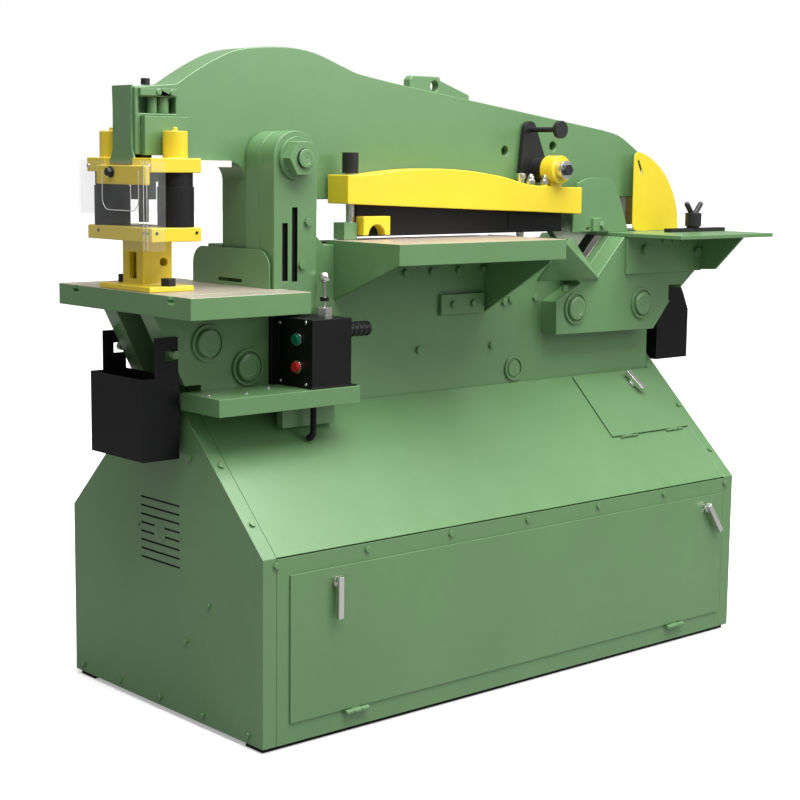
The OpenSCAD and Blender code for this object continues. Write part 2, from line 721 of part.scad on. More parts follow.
shear_x1 = shear_x0 + shear_l;
shear_y0 = -plate_o - shear_w;
slab_t = shear_z - plate_top;
lip_z = shear_z - 48;                           // bottom of the lip round the shear table

module gusset(x, z0, z1) plate_yz([[-plate_o, z0], [-plate_o, plate_top], [shear_y0 + 6, plate_top],
    [shear_y0 + 6, z1]], x, 8);

module shear_table() color("darkseagreen") {
    difference() {
        block([shear_x0, shear_y0, plate_top], [shear_x1, -plate_i - blade_t, shear_z]);
        bar_z(10.5, stud_a[0], stud_a[1], plate_top - 1, slab_t + 2);
    }
    block([shear_x0, shear_y0, lip_z], [shear_x1, shear_y0 + 6, plate_top]);
    gusset(shear_x0, 920, lip_z);
    gusset(114, 869, lip_z - 7);
    block([-40, -plate_o - 10, 869], [106, -plate_o, 919]);
    chute_wing();
}

// Two sheets that lead cut angles from the shear table's corner down to the V.
module chute_wing() {
    y = -plate_o - end_t - 4;
    corner = [shear_x1 - 3, shear_y0 + 3, shear_z - 10];
    heel = [v_x, y, v_z - 4];
    sheet([corner, [v_x - v_hw, y, plate_top], heel]);
    sheet([corner, heel, [v_x - 226, y, v_z]]);
}

module sheet(corners) hull() for (c = corners) translate(c) cube(3);

band = 20;                                      // width of the angle blades

module v_band(t) plate_xz([[v_x - v_hw - band, plate_top], [v_x, v_z - band],
    [v_x + v_hw + band, plate_top], [v_x + v_hw, plate_top], [v_x, v_z], [v_x - v_hw, plate_top]],
    -plate_i - blade_t, t);

module lower_blades() color("silver") {
    block([blade_x[0], -plate_i - blade_t, plate_top], [blade_x[1], -plate_i, shear_z]);
    v_band(blade_t);
    block([die_x0 - 38, -plate_i, 990], [die_x0, plate_i, plate_top]);
}

module frame_bolts() color("black") {
    for (x = [-233, -150, -65, 23, 104]) bar_y(9, x, 975, -plate_o - 8, 8);
    for (p = [[183, 891], [206, 897], [295, 897], [346, 922], [-105, 788], [141, 785]])
        hex_y(p[0], p[1], p[0] > 330 ? -plate_o - end_t : -plate_o, 16, 7);
    for (p = [[0, 894], [66, 894]]) hex_y(p[0], p[1], -plate_o - 10, 16, 7);
    for (p = [[649, 1013], [865, 1001]]) hex_y(p[0], p[1], -plate_o - end_t - 8, 24, 10);
    for (x = [723, 765, 799, 825]) bar_y(6, x, 1033, -plate_o - end_t - 13, 5);
    for (p = [[pivot_x + 16, 1008], [pivot_x + 33, 1103]]) hex_y(p[0], p[1], -plate_o - boss_t, 16, 7);
    for (s = [-1, 1]) hex_z(punch_x + 5, s * 85, table_z + foot_t, 30, 16);
    both() bar_y(9, -812, 824, -plate_o - 14, 14);
    both() bar_y(9, hook_pin[0], hook_pin[1], -plate_o, 8);
}

module bar_studs() {
    color("silver") {
        bar_z(10, stud_a[0], stud_a[1], plate_top, 170);
        bar_z(10, stud_b[0], stud_b[1], plate_top, 150);
    }
    color("black") {
        bar_z(19, stud_a[0], stud_a[1], 1210, 48);
        bar_z(13, stud_b[0], stud_b[1], plate_top + 150, 14);
    }
    color("darkseagreen") difference() {
        block([stud_a[0] - 33, stud_a[1] - 20, shear_z + 1], [stud_a[0] + 6, stud_a[1] + 20, 1098]);
        bar_z(10, stud_a[0], stud_a[1], shear_z, 50);
    }
}

function bar_z_low(x) = 1141 - (x - bar_x0) * 32 / 786;
bar_top = [[bar_x0, 1207], [-290, 1207], [-210, 1215], [-130, 1221], [-50, 1222], [50, 1216],
    [150, 1203], [215, 1189], [270, 1182], [bar_x1, 1177]];
bar_outline = concat([[bar_x0, bar_z_low(bar_x0)]], smooth(bar_top, 4),
    [[bar_x1, 1177], [bar_x1, bar_z_low(bar_x1)]]);
crank_hub_r = 36;
crank_hub_l = 44;
arch_at = [-263, shear_z + 10];                 // opening for round bars in the hold-down block
skirt_y = bar_y0 + 30;                          // front face of the black skirt

module holddown_bar() color("gold") {
    difference() {
        union() {
            plate_xz(bar_outline, bar_y0, bar_t);
            bar_y(crank_hub_r, crank[0], crank[1], bar_y0 - 15, crank_hub_l);
            block([crank[0] - 18, bar_y0, 1160], [crank[0] + 18, skirt_y - 1, crank[1] - 12]);
        }
        bar_z(10.3, stud_a[0], stud_a[1], 1100, 140);
        bar_z(10.3, stud_b[0], stud_b[1], 1090, 140);
        bar_y(crank_shaft_r + slide_gap, crank[0], crank[1], bar_y0 - 20, 100);
    }
    for (x = [stud_b[0] - 2, stud_b[0] + 49]) bar_z(9, x, bar_y0 + 15, 1178, 8);
    difference() {
        block([arch_at[0] - 41, bar_y0, arch_at[1]], [arch_at[0] + 41, skirt_y, arch_at[1] + 44]);
        bar_y(25, arch_at[0], arch_at[1], bar_y0 - 1, 32);
    }
}

// Two black plates under the bar, in front of the blades.
module blade_guard() color("black") {
    z = shear_z + 6.5;
    for (x = [[bar_x0 + 50, 195], [197, 390]])
        plate_xz([[x[0], z], [x[0], bar_z_low(x[0])], [x[1], bar_z_low(x[1])], [x[1], z]], skirt_y, 6);
}

crank_shaft_r = 13;

arm_y = -60.5;                                    // front face of the crank's arm
arm_t = 11.5;

module holddown_crank() {
    color("silver") bar_y(23, crank[0], crank[1], -160, 17.7);
    color("black") {
        bar_y(crank_shaft_r, crank[0], crank[1], -162, arm_y + 162);
        hex_y(crank[0], crank[1], -160, 26, 9);
        bar_y(30, crank[0], crank[1], skirt_y, arm_y - skirt_y);
        hull() {
            bar_y(34, crank[0], crank[1], arm_y, arm_t);
            bar_y(15, crank[0] - 52, crank[1] - 15, arm_y, arm_t);
            bar_y(22, crank_top[0], crank_top[1], arm_y, arm_t);
        }
        bar_y(6.5, crank_top[0], crank_top[1], -160, arm_y + 160);
        bar_y(22, crank_top[0], crank_top[1], -170, 12);
    }
}

module angle_guide() color("darkseagreen") {
    difference() {
        plate_xz(concat([[438, shear_z + 2], [442, 1130], [456, 1188]],
            smooth([[490, 1199], [528, 1202], [584, 1196], [612, 1164], [630, 1130]], 3),
            [[659, shear_z], [notch_x0 + 2, shear_z], [notch_x0 + 2, shear_z + 2]]), -91, 8);
        for (x = [492, 540]) block([x, -92, shear_z + 8], [x + 12, -82, shear_z + 14]);
    }
    block([510, -99, shear_z + 4], [545, -91, shear_z + 38]);
    bar_y(15, 546, shear_z + 19, -95, 4);
    hex_y(546, shear_z + 19, -95, 19, 12);
}

// ---- notcher ---------------------------------------------------------

module notch_table() color("darkseagreen") {
    difference() {
        block([notch_x0, -notch_w, plate_top], [notch_x1, plate_o, shear_z]);
        block([die_x0, -punch_hw - 3, plate_top - 1], [die_x1, punch_hw + 3, shear_z + 1]);
        block([notch_x0 - 1, -beam_h - 3, plate_top - 1], [notch_x0 + 20, beam_h + 3, shear_z + 1]);
    }
    block([notch_x0 + 4, -plate_o - end_t - 8, 950], [890, -plate_o - end_t, plate_top]);
    plate_yz([[-plate_o - end_t - 8, 953], [-plate_o - end_t - 8, plate_top], [-notch_w + 39, plate_top],
        [-notch_w + 39, plate_top - 5], [-notch_w + 127, 956]], 882, 8);
}

guard_hw = 80;
rim_w = 28;

guard_x0 = 688;
corner_r = 20;
guard_top = guard_c[1] + guard_r * sin(78);
guard_outline = concat(arc(guard_c[0], guard_c[1], guard_r, 0, 74, 20),
    arc(guard_x0 + corner_r, guard_top - corner_r, corner_r, 85, 180, 8),
    arc(guard_x0 + corner_r, guard_c[1] + corner_r, corner_r, 180, 270, 8));

// A sheet in front of the beam's end with a narrow rim turned back along its round edge.
module notch_guard() color("gold") {
    difference() {
        plate_xz(guard_outline, -guard_hw, 3);
        translate([guard_x0 + 26, 0, guard_top - 42]) rotate([0, 62, 0])
            block([-22, -guard_hw - 1, -4], [22, -guard_hw + 4, 4]);
    }
    difference() {
        intersection() {
            bar_y(guard_r, guard_c[0], guard_c[1], -guard_hw, rim_w);
            block([guard_x0 + 35, -guard_hw, guard_c[1]], [960, guard_hw, guard_c[1] + guard_r]);
        }
        bar_y(guard_r - 3, guard_c[0], guard_c[1], -guard_hw + 3, rim_w);
    }
    for (x = [guard_x0 + 40, guard_c[0] + guard_r - 30])
        block([x, -guard_hw, shear_z], [x + 20, -guard_hw + 3, guard_c[1] + 4]);
}

stop_at = [834, -170];
stop_tilt = 40;
stop_t = 10;

module stop_bar() color("black") difference() {
    union() {
        block([stop_at[0] - 107, stop_at[1] - 12, shear_z],
            [stop_at[0] + 126, stop_at[1] + 12, shear_z + stop_t]);
        bar_z(18, stop_at[0], stop_at[1], shear_z + stop_t, 4);
    }
    bar_z(6 + slide_gap, stop_at[0], stop_at[1], shear_z + 2, 30);
}

module stop_knob() color("black") {
    bar_z(6, stop_at[0], stop_at[1], shear_z + 4, 24);
    bar_z(22, stop_at[0], stop_at[1], shear_z + stop_t + 4.5, 36);
    translate([stop_at[0], stop_at[1], shear_z + stop_t + 30])
        for (s = [-1, 1]) rotate([0, s * stop_tilt, 0]) {
            cylinder(r = 7, h = 44);
            translate([0, 0, 44]) sphere(r = 7);
        }
}

// ---- controls --------------------------------------------------------

shelf_x1 = shelf_x0 + shelf_l;
shelf_y0 = -244;
lip_h = 38;

module control_shelf() color("darkseagreen") difference() {
    block([shelf_x0, shelf_y0, shelf_z - lip_h], [shelf_x1, -plate_o, shelf_z]);
    block([shelf_x0 + skin_t, shelf_y0 + skin_t, shelf_z - lip_h - 1],
        [shelf_x1 - skin_t, -plate_o - skin_t, shelf_z - skin_t]);
    bar_z(8, conduit_at[0], conduit_at[1], shelf_z - 4, 6);
}

box_top = shelf_z + box_h;

module control_box() color("black") difference() {
    union() {
        block([box_x0, box_y0, shelf_z], [box_x1, -plate_o, box_top]);
        block([box_x0 - 4, box_y0 - 3, shelf_z], [box_x1 + 15, -plate_o, shelf_z + 3]);
        block([box_x0 - 20, -plate_o - 12, shelf_z], [box_x0 + 1, -plate_o, box_top]);
    }
    block([box_x0 + skin_t, box_y0 + skin_t, shelf_z + skin_t],
        [box_x1 - skin_t, -plate_o - skin_t, box_top - skin_t]);
    for (z = [green_z, red_z]) bar_x(button_r + 0.5, box_x0 - 1, 6, button_y, z);
    bar_z(9, lever_at[0], lever_at[1], box_top - 4, 6);
    bar_z(8, conduit_at[0], conduit_at[1], shelf_z - 1, 6);
}

bezel_r = button_r + 3.5;
gland_at = [-205, shelf_z + 124];               // cable gland on the box's right side, y and z

module box_fittings() {
    color("silver") {
        for (z = [green_z, red_z]) difference() {
            bar_x(bezel_r, box_x0 - 5, 5, button_y, z);
            bar_x(button_r + 0.5, box_x0 - 6, 7, button_y, z);
        }
        difference() {
            hex_z(lever_at[0], lever_at[1], box_top, 32, 20);
            bar_z(9, lever_at[0], lever_at[1], box_top - 1, 22);
        }
    }
    color("black") {
        bar_x(15, box_x1, 70, gland_at[0], gland_at[1]);
        for (i = [0 : 4]) bar_x(17, box_x1 + 5 + 14 * i, 6, gland_at[0], gland_at[1]);
    }
    color("darkseagreen") block([-567, -164, 648], [shelf_x1 - 8, -143, shelf_z - skin_t]);
}

conduit_at = [-500, -190];
elbow_z = slope_z(conduit_at[1]) + 34;

// The lead in its sleeve, from the control box through the slope cover.
module shelf_conduit() color("black") {
    bar_z(7, conduit_at[0], conduit_at[1], elbow_z, shelf_z + 10 - elbow_z);
    translate([conduit_at[0], conduit_at[1], elbow_z]) sphere(r = 8.5);
    bar_y(7, conduit_at[0], elbow_z, conduit_at[1], 14);
    on_slope() translate([conduit_at[0], (half_w + conduit_at[1] + 25) / cos(slope_a), 0])
        cylinder(r = 15, h = 26);
}

module push_button(z) {
    bar_x(button_r, box_x0 - 7 - button_travel, 9 + button_travel, button_y, z);
    bar_x(4, box_x0 + 2, 20, button_y, z);
}

module green_button() color("green") push_button(green_z);
module red_button() color("red") push_button(red_z);

pivot_up = 12;                                  // the lever's ball sits this far up its nut

module control_lever() {
    color("silver") {
        translate([lever_at[0], lever_at[1], box_top + pivot_up]) sphere(r = 8.6);
        bar_y(2.5, lever_at[0], box_top + pivot_up, lever_at[1] - 8.4, 16.8);
        bar_z(4, lever_at[0], lever_at[1], box_top + pivot_up, 68);
    }
    color("black") {
        bar_z(10, lever_at[0], lever_at[1], box_top + 34, 9);
        translate([lever_at[0], lever_at[1], box_top + 87]) sphere(r = 13);
    }
}

// ---- buckets that catch the slugs and offcuts ------------------------

bucket_hw = 104;

// An open bucket with two ears that hook over pins at hook.
module bucket(outline, x, y, z0, hook) difference() {
    plate_xz(outline, -y, 2 * y);
    block([x[0] + 2, -y + 2, z0 + 2], [x[1] - 2, y - 2, hook[1] + 60]);
    bar_y(11, hook[0], hook[1], -y - 1, 2 * y + 2);
    block([hook[0] - 22, -y - 1, hook[1] - 11], [hook[0], y + 1, hook[1] + 11]);
}

module chip_buckets() color("black") {
    bucket([[-893, 597], [-893, 775], [-862, 775], [-862, 862], [-802, 862], [-802, 775],
        [-800, 775], [-800, 597]], [-893, -800], bucket_hw, 597, [-812, 822]);
    bucket([[786, 703], [786, 806], [806, 838], [806, 946], [858, 946], [896, 883],
        [918, 836], [918, 703]], [786, 918], plate_o - 4, 703, hook_pin);
}

// ---- hydraulics inside the cabinet -----------------------------------

bore_r = cyl_r - 12;
eye_t = 30;
barrel_x = [window[0] + 10, window[1] - 20];
piston_x = pivot_x + 412;

module cylinder_barrel() {
    color("dimgray") difference() {
        union() {
            bar_x(cyl_r, barrel_x[0], barrel_x[1] - barrel_x[0], 0, cyl_z);
            block([barrel_x[1], -22, cyl_z - 30], [barrel_x[1] + 95, 22, cyl_z + 30]);
            for (x = port_x) bar_y(16, x, cyl_z, cyl_r - 10, port_y - cyl_r + 10);
        }
        bar_x(bore_r, barrel_x[0] + 40, barrel_x[1] - barrel_x[0] - 70, 0, cyl_z);
        bar_x(rod_r + slide_gap, barrel_x[0] - 1, 60, 0, cyl_z);
        bar_y(tie_r, window[1] + 50, cyl_z, -30, 60);
        for (x = port_x) bar_y(8, x, cyl_z, 20, cyl_r + 30);
    }
    color("silver") bar_y(tie_r, window[1] + 50, cyl_z, -plate_o, 2 * plate_o);
}

module piston_rod() color("silver") {
    bar_y(20, cyl_pin_x, cyl_z, -beam_h + 2, beam_t - 4);
    difference() {
        union() {
            bar_y(38, cyl_pin_x, cyl_z, -eye_t / 2, eye_t);
            bar_x(rod_r, cyl_pin_x + 30, piston_x - cyl_pin_x - 30, 0, cyl_z);
            bar_x(bore_r - slide_gap, piston_x, 40, 0, cyl_z);
        }
        for (s = [-1, 1])
            block([cyl_pin_x - 50, s * 40 - 25, cyl_z - 50], [cyl_pin_x + 70, s * 40 + 25, cyl_z + 50]);
        bar_y(20, cyl_pin_x, cyl_z, -eye_t, 2 * eye_t);
    }
}

tank_y = [plate_o + 12, half_w - 24];
tank_top = 330;
motor_y = 236;
motor_z = tank_top + 12 + motor_r;

module oil_tank() color("steelblue") {
    difference() {
        block([tank_x[0], tank_y[0], floor_z], [tank_x[1], tank_y[1], tank_top]);
        block([tank_x[0] + 4, tank_y[0] + 4, floor_z + 4], [tank_x[1] - 4, tank_y[1] - 4, tank_top - 6]);
        bar_z(12, tank_x[1] - 60, tank_y[0] + 50, tank_top - 7, 10);
    }
    bar_z(22, tank_x[1] - 60, tank_y[0] + 50, tank_top, 24);
}

module power_pack() {
    color("steelblue") {
        bar_x(motor_r, tank_x[0] + 20, 230, motor_y, motor_z);
        block([tank_x[0] + 50, motor_y - 50, tank_top],
            [tank_x[0] + 220, motor_y + 50, motor_z - motor_r + 14]);
        bar_x(motor_r - 14, tank_x[0] - 16, 36, motor_y, motor_z);
        block([tank_x[0] + 80, motor_y - 40, motor_z + motor_r - 8],
            [tank_x[0] + 160, motor_y + 16, motor_z + motor_r + 26]);
    }
    color("dimgray") {
        bar_x(50, tank_x[0] + 250, 90, motor_y, motor_z);
        block([tank_x[1] - 190, tank_y[0] + 10, tank_top], [tank_x[1] - 110, tank_y[0] + 80, tank_top + 110]);
        block([tank_x[0] + 290, motor_y - 30, tank_top], [tank_x[0] + 330, motor_y + 30, motor_z - 36]);
    }
}

hose_r = 9;
hose_y = plate_o + 13 + hose_r;
valve_x = tank_x[1] - 150;

// A hose along straight runs, rounded at each turn.
module hose(pts) for (i = [0 : len(pts) - 2]) {
    d = pts[i + 1] - pts[i];
    translate(pts[i]) rotate([0, acos(d[2] / norm(d)), atan2(d[1], d[0])]) cylinder(r = hose_r, h = norm(d));
    if (i > 0) translate(pts[i]) sphere(r = hose_r + 2);
}

module pressure_hoses() color("black") {
    hose([[port_x[0], port_y, cyl_z], [port_x[0], hose_y + 10, cyl_z], [port_x[0], hose_y + 10, cyl_z + 60],
        [valve_x + 22, hose_y + 10, cyl_z + 60], [valve_x + 22, hose_y + 10, tank_top + 110]]);
    hose([[port_x[1], port_y, cyl_z], [port_x[1], hose_y + 4, cyl_z], [valve_x - 16, hose_y + 4, cyl_z],
        [valve_x - 16, hose_y + 4, tank_top + 110]]);
}

base_frame();
end_panel_left();
end_panel_right();
front_panel();
rear_panel();
slope_cover_front();
slope_cover_rear();
cabinet_screws();
frame_plate_front();
frame_plate_rear();
frame_spacers();
ear_boss();
end_plates();
pivot_pin();
pivot_nuts();
punch_table();
tool_base();
punch_die();
guide_posts();
clear_guard();
table_guard();
shear_table();
lower_blades();
frame_bolts();
blade_guard();
bar_studs();
angle_guide();
notch_table();
notch_guard();
stop_bar();
control_shelf();
control_box();
box_fittings();
shelf_conduit();
chip_buckets();
cylinder_barrel();
oil_tank();
power_pack();
pressure_hoses();
beam();
nose_end_plate();
nose_blocks();
pivot_bush();
upper_blades();
upper_tool_plate();
upper_sleeves();
punch_ram();
piston_rod();
holddown_bar();
holddown_crank();
front_door();
latch_left();
latch_right();
hatch_lid();
hatch_handle();
green_button();
red_button();
control_lever();
stop_knob();
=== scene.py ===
"""Looks of a hydraulic ironworker: enamelled plates with rounded edges, bright steel, guards, screws and the
small fittings.

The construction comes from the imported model. Plates and castings are shown with their edges rounded, and each
small fitting is a surface worked out here: a shape turned about an axis, an outline given a thickness with
rounded rims, or a section carried along a path. +X runs along the machine, +Z is up, and the operator stands
at -Y. Places and sizes of pieces are in millimetres; the camera, the lamps, the floor and the grain of the
finishes are in metres.
"""

import json
import math

import bmesh
import bpy
import numpy as np
from mathutils import Matrix, Vector


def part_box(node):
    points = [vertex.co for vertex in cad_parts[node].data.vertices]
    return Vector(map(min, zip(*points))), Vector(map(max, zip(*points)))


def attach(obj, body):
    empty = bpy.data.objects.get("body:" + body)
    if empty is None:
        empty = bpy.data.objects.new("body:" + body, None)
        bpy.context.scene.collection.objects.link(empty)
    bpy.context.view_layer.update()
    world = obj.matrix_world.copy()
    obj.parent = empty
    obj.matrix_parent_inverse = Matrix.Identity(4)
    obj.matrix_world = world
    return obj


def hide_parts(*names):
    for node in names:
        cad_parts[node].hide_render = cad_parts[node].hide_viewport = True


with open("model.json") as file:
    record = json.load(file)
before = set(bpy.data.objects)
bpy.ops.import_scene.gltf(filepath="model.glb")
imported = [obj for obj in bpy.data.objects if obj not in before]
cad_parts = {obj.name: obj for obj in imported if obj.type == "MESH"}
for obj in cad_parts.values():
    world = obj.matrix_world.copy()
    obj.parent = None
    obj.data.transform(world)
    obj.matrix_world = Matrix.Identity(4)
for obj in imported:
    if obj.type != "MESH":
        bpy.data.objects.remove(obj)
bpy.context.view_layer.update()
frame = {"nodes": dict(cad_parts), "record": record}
NODES = frame["nodes"]
RECORD = frame["record"]
BODY_OF = {node: body for body, members in RECORD["behaviour"]["bodies"].items() for node in members}
SLOT_OF = {part["node"]: part["material_slot"] for part in RECORD["subparts"]}
MM = 0.001
X, Y, Z = 0, 1, 2


def low_corner(node):
    """A node's lowest x, y and z."""
    return np.array(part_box(node)[0]) / MM


def high_corner(node):
    """A node's highest x, y and z."""
    return np.array(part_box(node)[1]) / MM


def middle(node):
    """The middle of a node's box."""
    return (low_corner(node) + high_corner(node)) / 2


# ---- materials --------------------------------------------------------------------------------------------

class Finish:
    """A material under construction: a shader and short ways to add the nodes that vary it."""

    def __init__(self, name, **sockets):
        self.material = bpy.data.materials.new(name)
        self.material.use_nodes = True
        self.tree = self.material.node_tree
        self.shader = self.tree.nodes["Principled BSDF"]
        self.place = self.add("ShaderNodeTexCoord").outputs["Object"]
        for key, value in sockets.items():
            self.shader.inputs[key.replace("_", " ")].default_value = value

    def add(self, kind, **settings):
        """A new node with the given settings."""
        node = self.tree.nodes.new(kind)
        for key, value in settings.items():
            setattr(node, key, value)
        return node

    def link(self, source, target):
        """Joins an output to an input."""
        self.tree.links.new(source, target)

    def drive(self, socket, source):
        """Lets a node's output set one of the shader's sockets."""
        self.link(source, self.shader.inputs[socket])

    def noise(self, scale, detail=2.0, stretch=(1, 1, 1), rough=0.5):
        """Cloudy noise, scale in cells a metre, with more cells along the axes where stretch is over 1."""
        mapping = self.add("ShaderNodeMapping")
        mapping.inputs["Scale"].default_value = stretch
        self.link(self.place, mapping.inputs["Vector"])
        cloud = self.add("ShaderNodeTexNoise")
        cloud.inputs["Scale"].default_value = scale
        cloud.inputs["Detail"].default_value = detail
        cloud.inputs["Roughness"].default_value = rough
        self.link(mapping.outputs["Vector"], cloud.inputs["Vector"])
        return cloud.outputs["Fac"]

    def remap(self, value, low, high, from_low=0.3, from_high=0.7):
        """The stretch from_low to from_high of a value, spread over low to high."""
        node = self.add("ShaderNodeMapRange")
        node.inputs["From Min"].default_value = from_low
        node.inputs["From Max"].default_value = from_high
        node.inputs["To Min"].default_value = low
        node.inputs["To Max"].default_value = high
        self.link(value, node.inputs["Value"])
        return node.outputs["Result"]

    def mix(self, share, a, b):
        """Colour a where share is 0 and b where it is 1; each of the three is a value or a socket."""
        node = self.add("ShaderNodeMix", data_type="RGBA")
        for value, slot in ((share, 0), (a, 6), (b, 7)):
            if isinstance(value, bpy.types.NodeSocket):
                self.link(value, node.inputs[slot])
            else:
                node.inputs[slot].default_value = value
        return node.outputs[2]

    def bump(self, height, depth, strength, under=None):
        """Raises the surface by up to depth metres, over an earlier bump if one is given."""
        node = self.add("ShaderNodeBump")
        node.inputs["Strength"].default_value = strength
        node.inputs["Distance"].default_value = depth
        self.link(height, node.inputs["Height"])
        if under is not None:
            self.link(under, node.inputs["Normal"])
        return node.outputs["Normal"]


def tone(colour, factor):
    """The colour made lighter or darker by a factor."""
    return tuple(c * factor for c in colour) + (1,)


def grey(level):
    """An even grey."""
    return (level, level, level, 1)


EVEN = (1, 1, 1)
GROUND = (1, 60, 60)
MILLED = (1, 40, 40)
COAT_ROUGHNESS = 0.22
PEEL = 0.00006
GRIND = 0.00004
MOULD_GRAIN = 0.00005


def enamel(name, colour, gloss=0.36, cloud=0.07, coat=0.25):
    """Sprayed machine enamel: slow drifts of tone, the fine ripple of the spray, and a gloss that varies."""
    f = Finish(name, Coat_Weight=coat, Coat_Roughness=COAT_ROUGHNESS, Specular_IOR_Level=2 * coat)
    drift = f.remap(f.noise(scale=2.3, detail=3), 0, 1)
    fine = f.remap(f.noise(scale=34, detail=4), 0, 1)
    body = f.mix(drift, tone(colour, 1 - cloud), tone(colour, 1 + cloud))
    f.drive("Base Color", f.mix(f.remap(fine, 0, 0.35, 0, 1), body, tone(colour, 1 - 1.6 * cloud)))
    f.drive("Roughness", f.remap(f.noise(scale=11, detail=3), gloss - 0.05, gloss + 0.07))
    ripple = f.bump(f.noise(scale=70), depth=3 * PEEL, strength=0.6)
    f.drive("Normal", f.bump(f.noise(scale=420), depth=PEEL, strength=0.8, under=ripple))
    return f.material


def bare_steel(name, colour, rough, grain=EVEN, streak=0.12, metal=1.0):
    """Machined steel: fine streaks along the grain in tone, roughness and relief, and a slow darker stain."""
    f = Finish(name, Metallic=metal)
    lines = f.remap(f.noise(scale=9, detail=6, stretch=grain, rough=0.65), 0, 1)
    stain = f.remap(f.noise(scale=5, detail=4), 0, 1)
    bright = f.mix(lines, tone(colour, 1 - streak), tone(colour, 1 + streak))
    f.drive("Base Color", f.mix(f.remap(stain, 0, 0.3, 0, 1), bright, tone(colour, 0.75)))
    f.drive("Roughness", f.remap(lines, rough - 0.08, rough + 0.1, 0, 1))
    f.drive("Normal", f.bump(lines, depth=GRIND, strength=0.5))
    return f.material


def rubber(name, colour, rough):
    """Moulded rubber or plastic: a fine matt grain."""
    f = Finish(name, Specular_IOR_Level=0.3)
    drift = f.remap(f.noise(scale=20, detail=3), 0, 1)
    f.drive("Base Color", f.mix(drift, tone(colour, 0.85), tone(colour, 1.2)))
    f.drive("Roughness", f.remap(f.noise(scale=90), rough - 0.06, rough + 0.08))
    f.drive("Normal", f.bump(f.noise(scale=900), depth=MOULD_GRAIN, strength=0.5))
    return f.material


def clear_plastic(name, seen):
    """Clear guard sheet: it hides the share seen of what is behind, with a grey sheen and faint scuffs."""
    f = Finish(name, Alpha=seen, Specular_IOR_Level=0.6)
    haze = f.remap(f.noise(scale=30, detail=4), 0, 1)
    f.drive("Base Color", f.mix(haze, (0.55, 0.57, 0.57, 1), (0.75, 0.77, 0.77, 1)))
    f.drive("Roughness", f.remap(f.noise(scale=55, detail=4), 0.05, 0.2))
    return f.material


FINISHES = {
    "green_paint": enamel("green_paint", (0.106, 0.216, 0.088)),
    "yellow_paint": enamel("yellow_paint", (0.68, 0.52, 0.020), 0.34, 0.04),
    "black_paint": enamel("black_paint", (0.0025, 0.0025, 0.003), 0.5, 0.10, coat=0.10),
    "blue_paint": enamel("blue_paint", (0.03, 0.10, 0.25), 0.4),
    "dark_steel": bare_steel("dark_steel", (0.16, 0.16, 0.16), 0.42),
    "black_steel": bare_steel("black_steel", (0.012, 0.012, 0.013), 0.45, metal=0.2),
    "plated_steel": bare_steel("plated_steel", (0.72, 0.71, 0.68), 0.22),
    "ground_steel": bare_steel("ground_steel", (0.55, 0.53, 0.50), 0.34, GROUND),
    "black_rubber": rubber("black_rubber", (0.0035, 0.0035, 0.004), 0.6),
    "black_plastic": rubber("black_plastic", (0.008, 0.008, 0.009), 0.38),
    "green_plastic": rubber("green_plastic", (0.004, 0.17, 0.10), 0.3),
    "red_plastic": rubber("red_plastic", (0.60, 0.022, 0.020), 0.3),
    "clear_sheet": clear_plastic("clear_sheet", 0.06),
    "bronze": bare_steel("bronze", (0.50, 0.30, 0.10), 0.35),
}
GREEN = FINISHES["green_paint"]
BLACK = FINISHES["black_steel"]
CHROME = FINISHES["plated_steel"]
TABLE_STEEL = bare_steel("table_steel", (0.60, 0.52, 0.43), 0.42, MILLED, 0.18, 0.75)
WHITE_STRIP = rubber("white_strip", (0.75, 0.73, 0.70), 0.4)


# ---- camera, floor and light ------------------------------------------------------------------------------

EYE = (-2.8246, -3.1150, 1.2400)
YAW, DOWN, ROLL = (math.radians(a) for a in (41.44, 8.06, 0.657))
SENSOR = 36
LENS = 76
VIEW_DEPTH = 60
SKY_LIGHT = 0.42
SKY_SEEN = 1.0
FLOOR_HALF = 30
FLOOR_ROUGHNESS = 0.7
FLOOR_TONE = 0.32
FLOOR_TONE_SEEN = 0.9
NEAR_GLOW = 0.35
FAR_GLOW = 0.95
GLOW_FROM, GLOW_TO = 1.2, 3.0
LAMPS = {
    "overhead": {"place": (-0.2, -1.4, 4.4), "aim": (0.1, 0, 0.6), "size": (4.5, 3.5), "power": 430},
    "front_right": {"place": (2.6, -4.2, 2.9), "aim": (0.2, 0, 0.7), "size": (2.6, 2.6), "power": 70},
}


def camera():
    """The eye stands off the left front corner and looks a little down."""
    ahead = Vector((math.sin(YAW) * math.cos(DOWN), math.cos(YAW) * math.cos(DOWN), -math.sin(DOWN)))
    level = Vector((math.cos(YAW), -math.sin(YAW), 0))
    over = level.cross(ahead)
    right = level * math.cos(ROLL) + over * math.sin(ROLL)
    up = over * math.cos(ROLL) - level * math.sin(ROLL)
    turn = Matrix((right, up, -ahead)).transposed()
    data = bpy.data.cameras.new("camera")
    data.sensor_width = SENSOR
    data.lens = LENS
    data.clip_end = VIEW_DEPTH
    cam = bpy.data.objects.new("camera", data)
    cam.matrix_world = Matrix.Translation(EYE) @ turn.to_4x4()
    bpy.context.scene.collection.objects.link(cam)
    bpy.context.scene.camera = cam


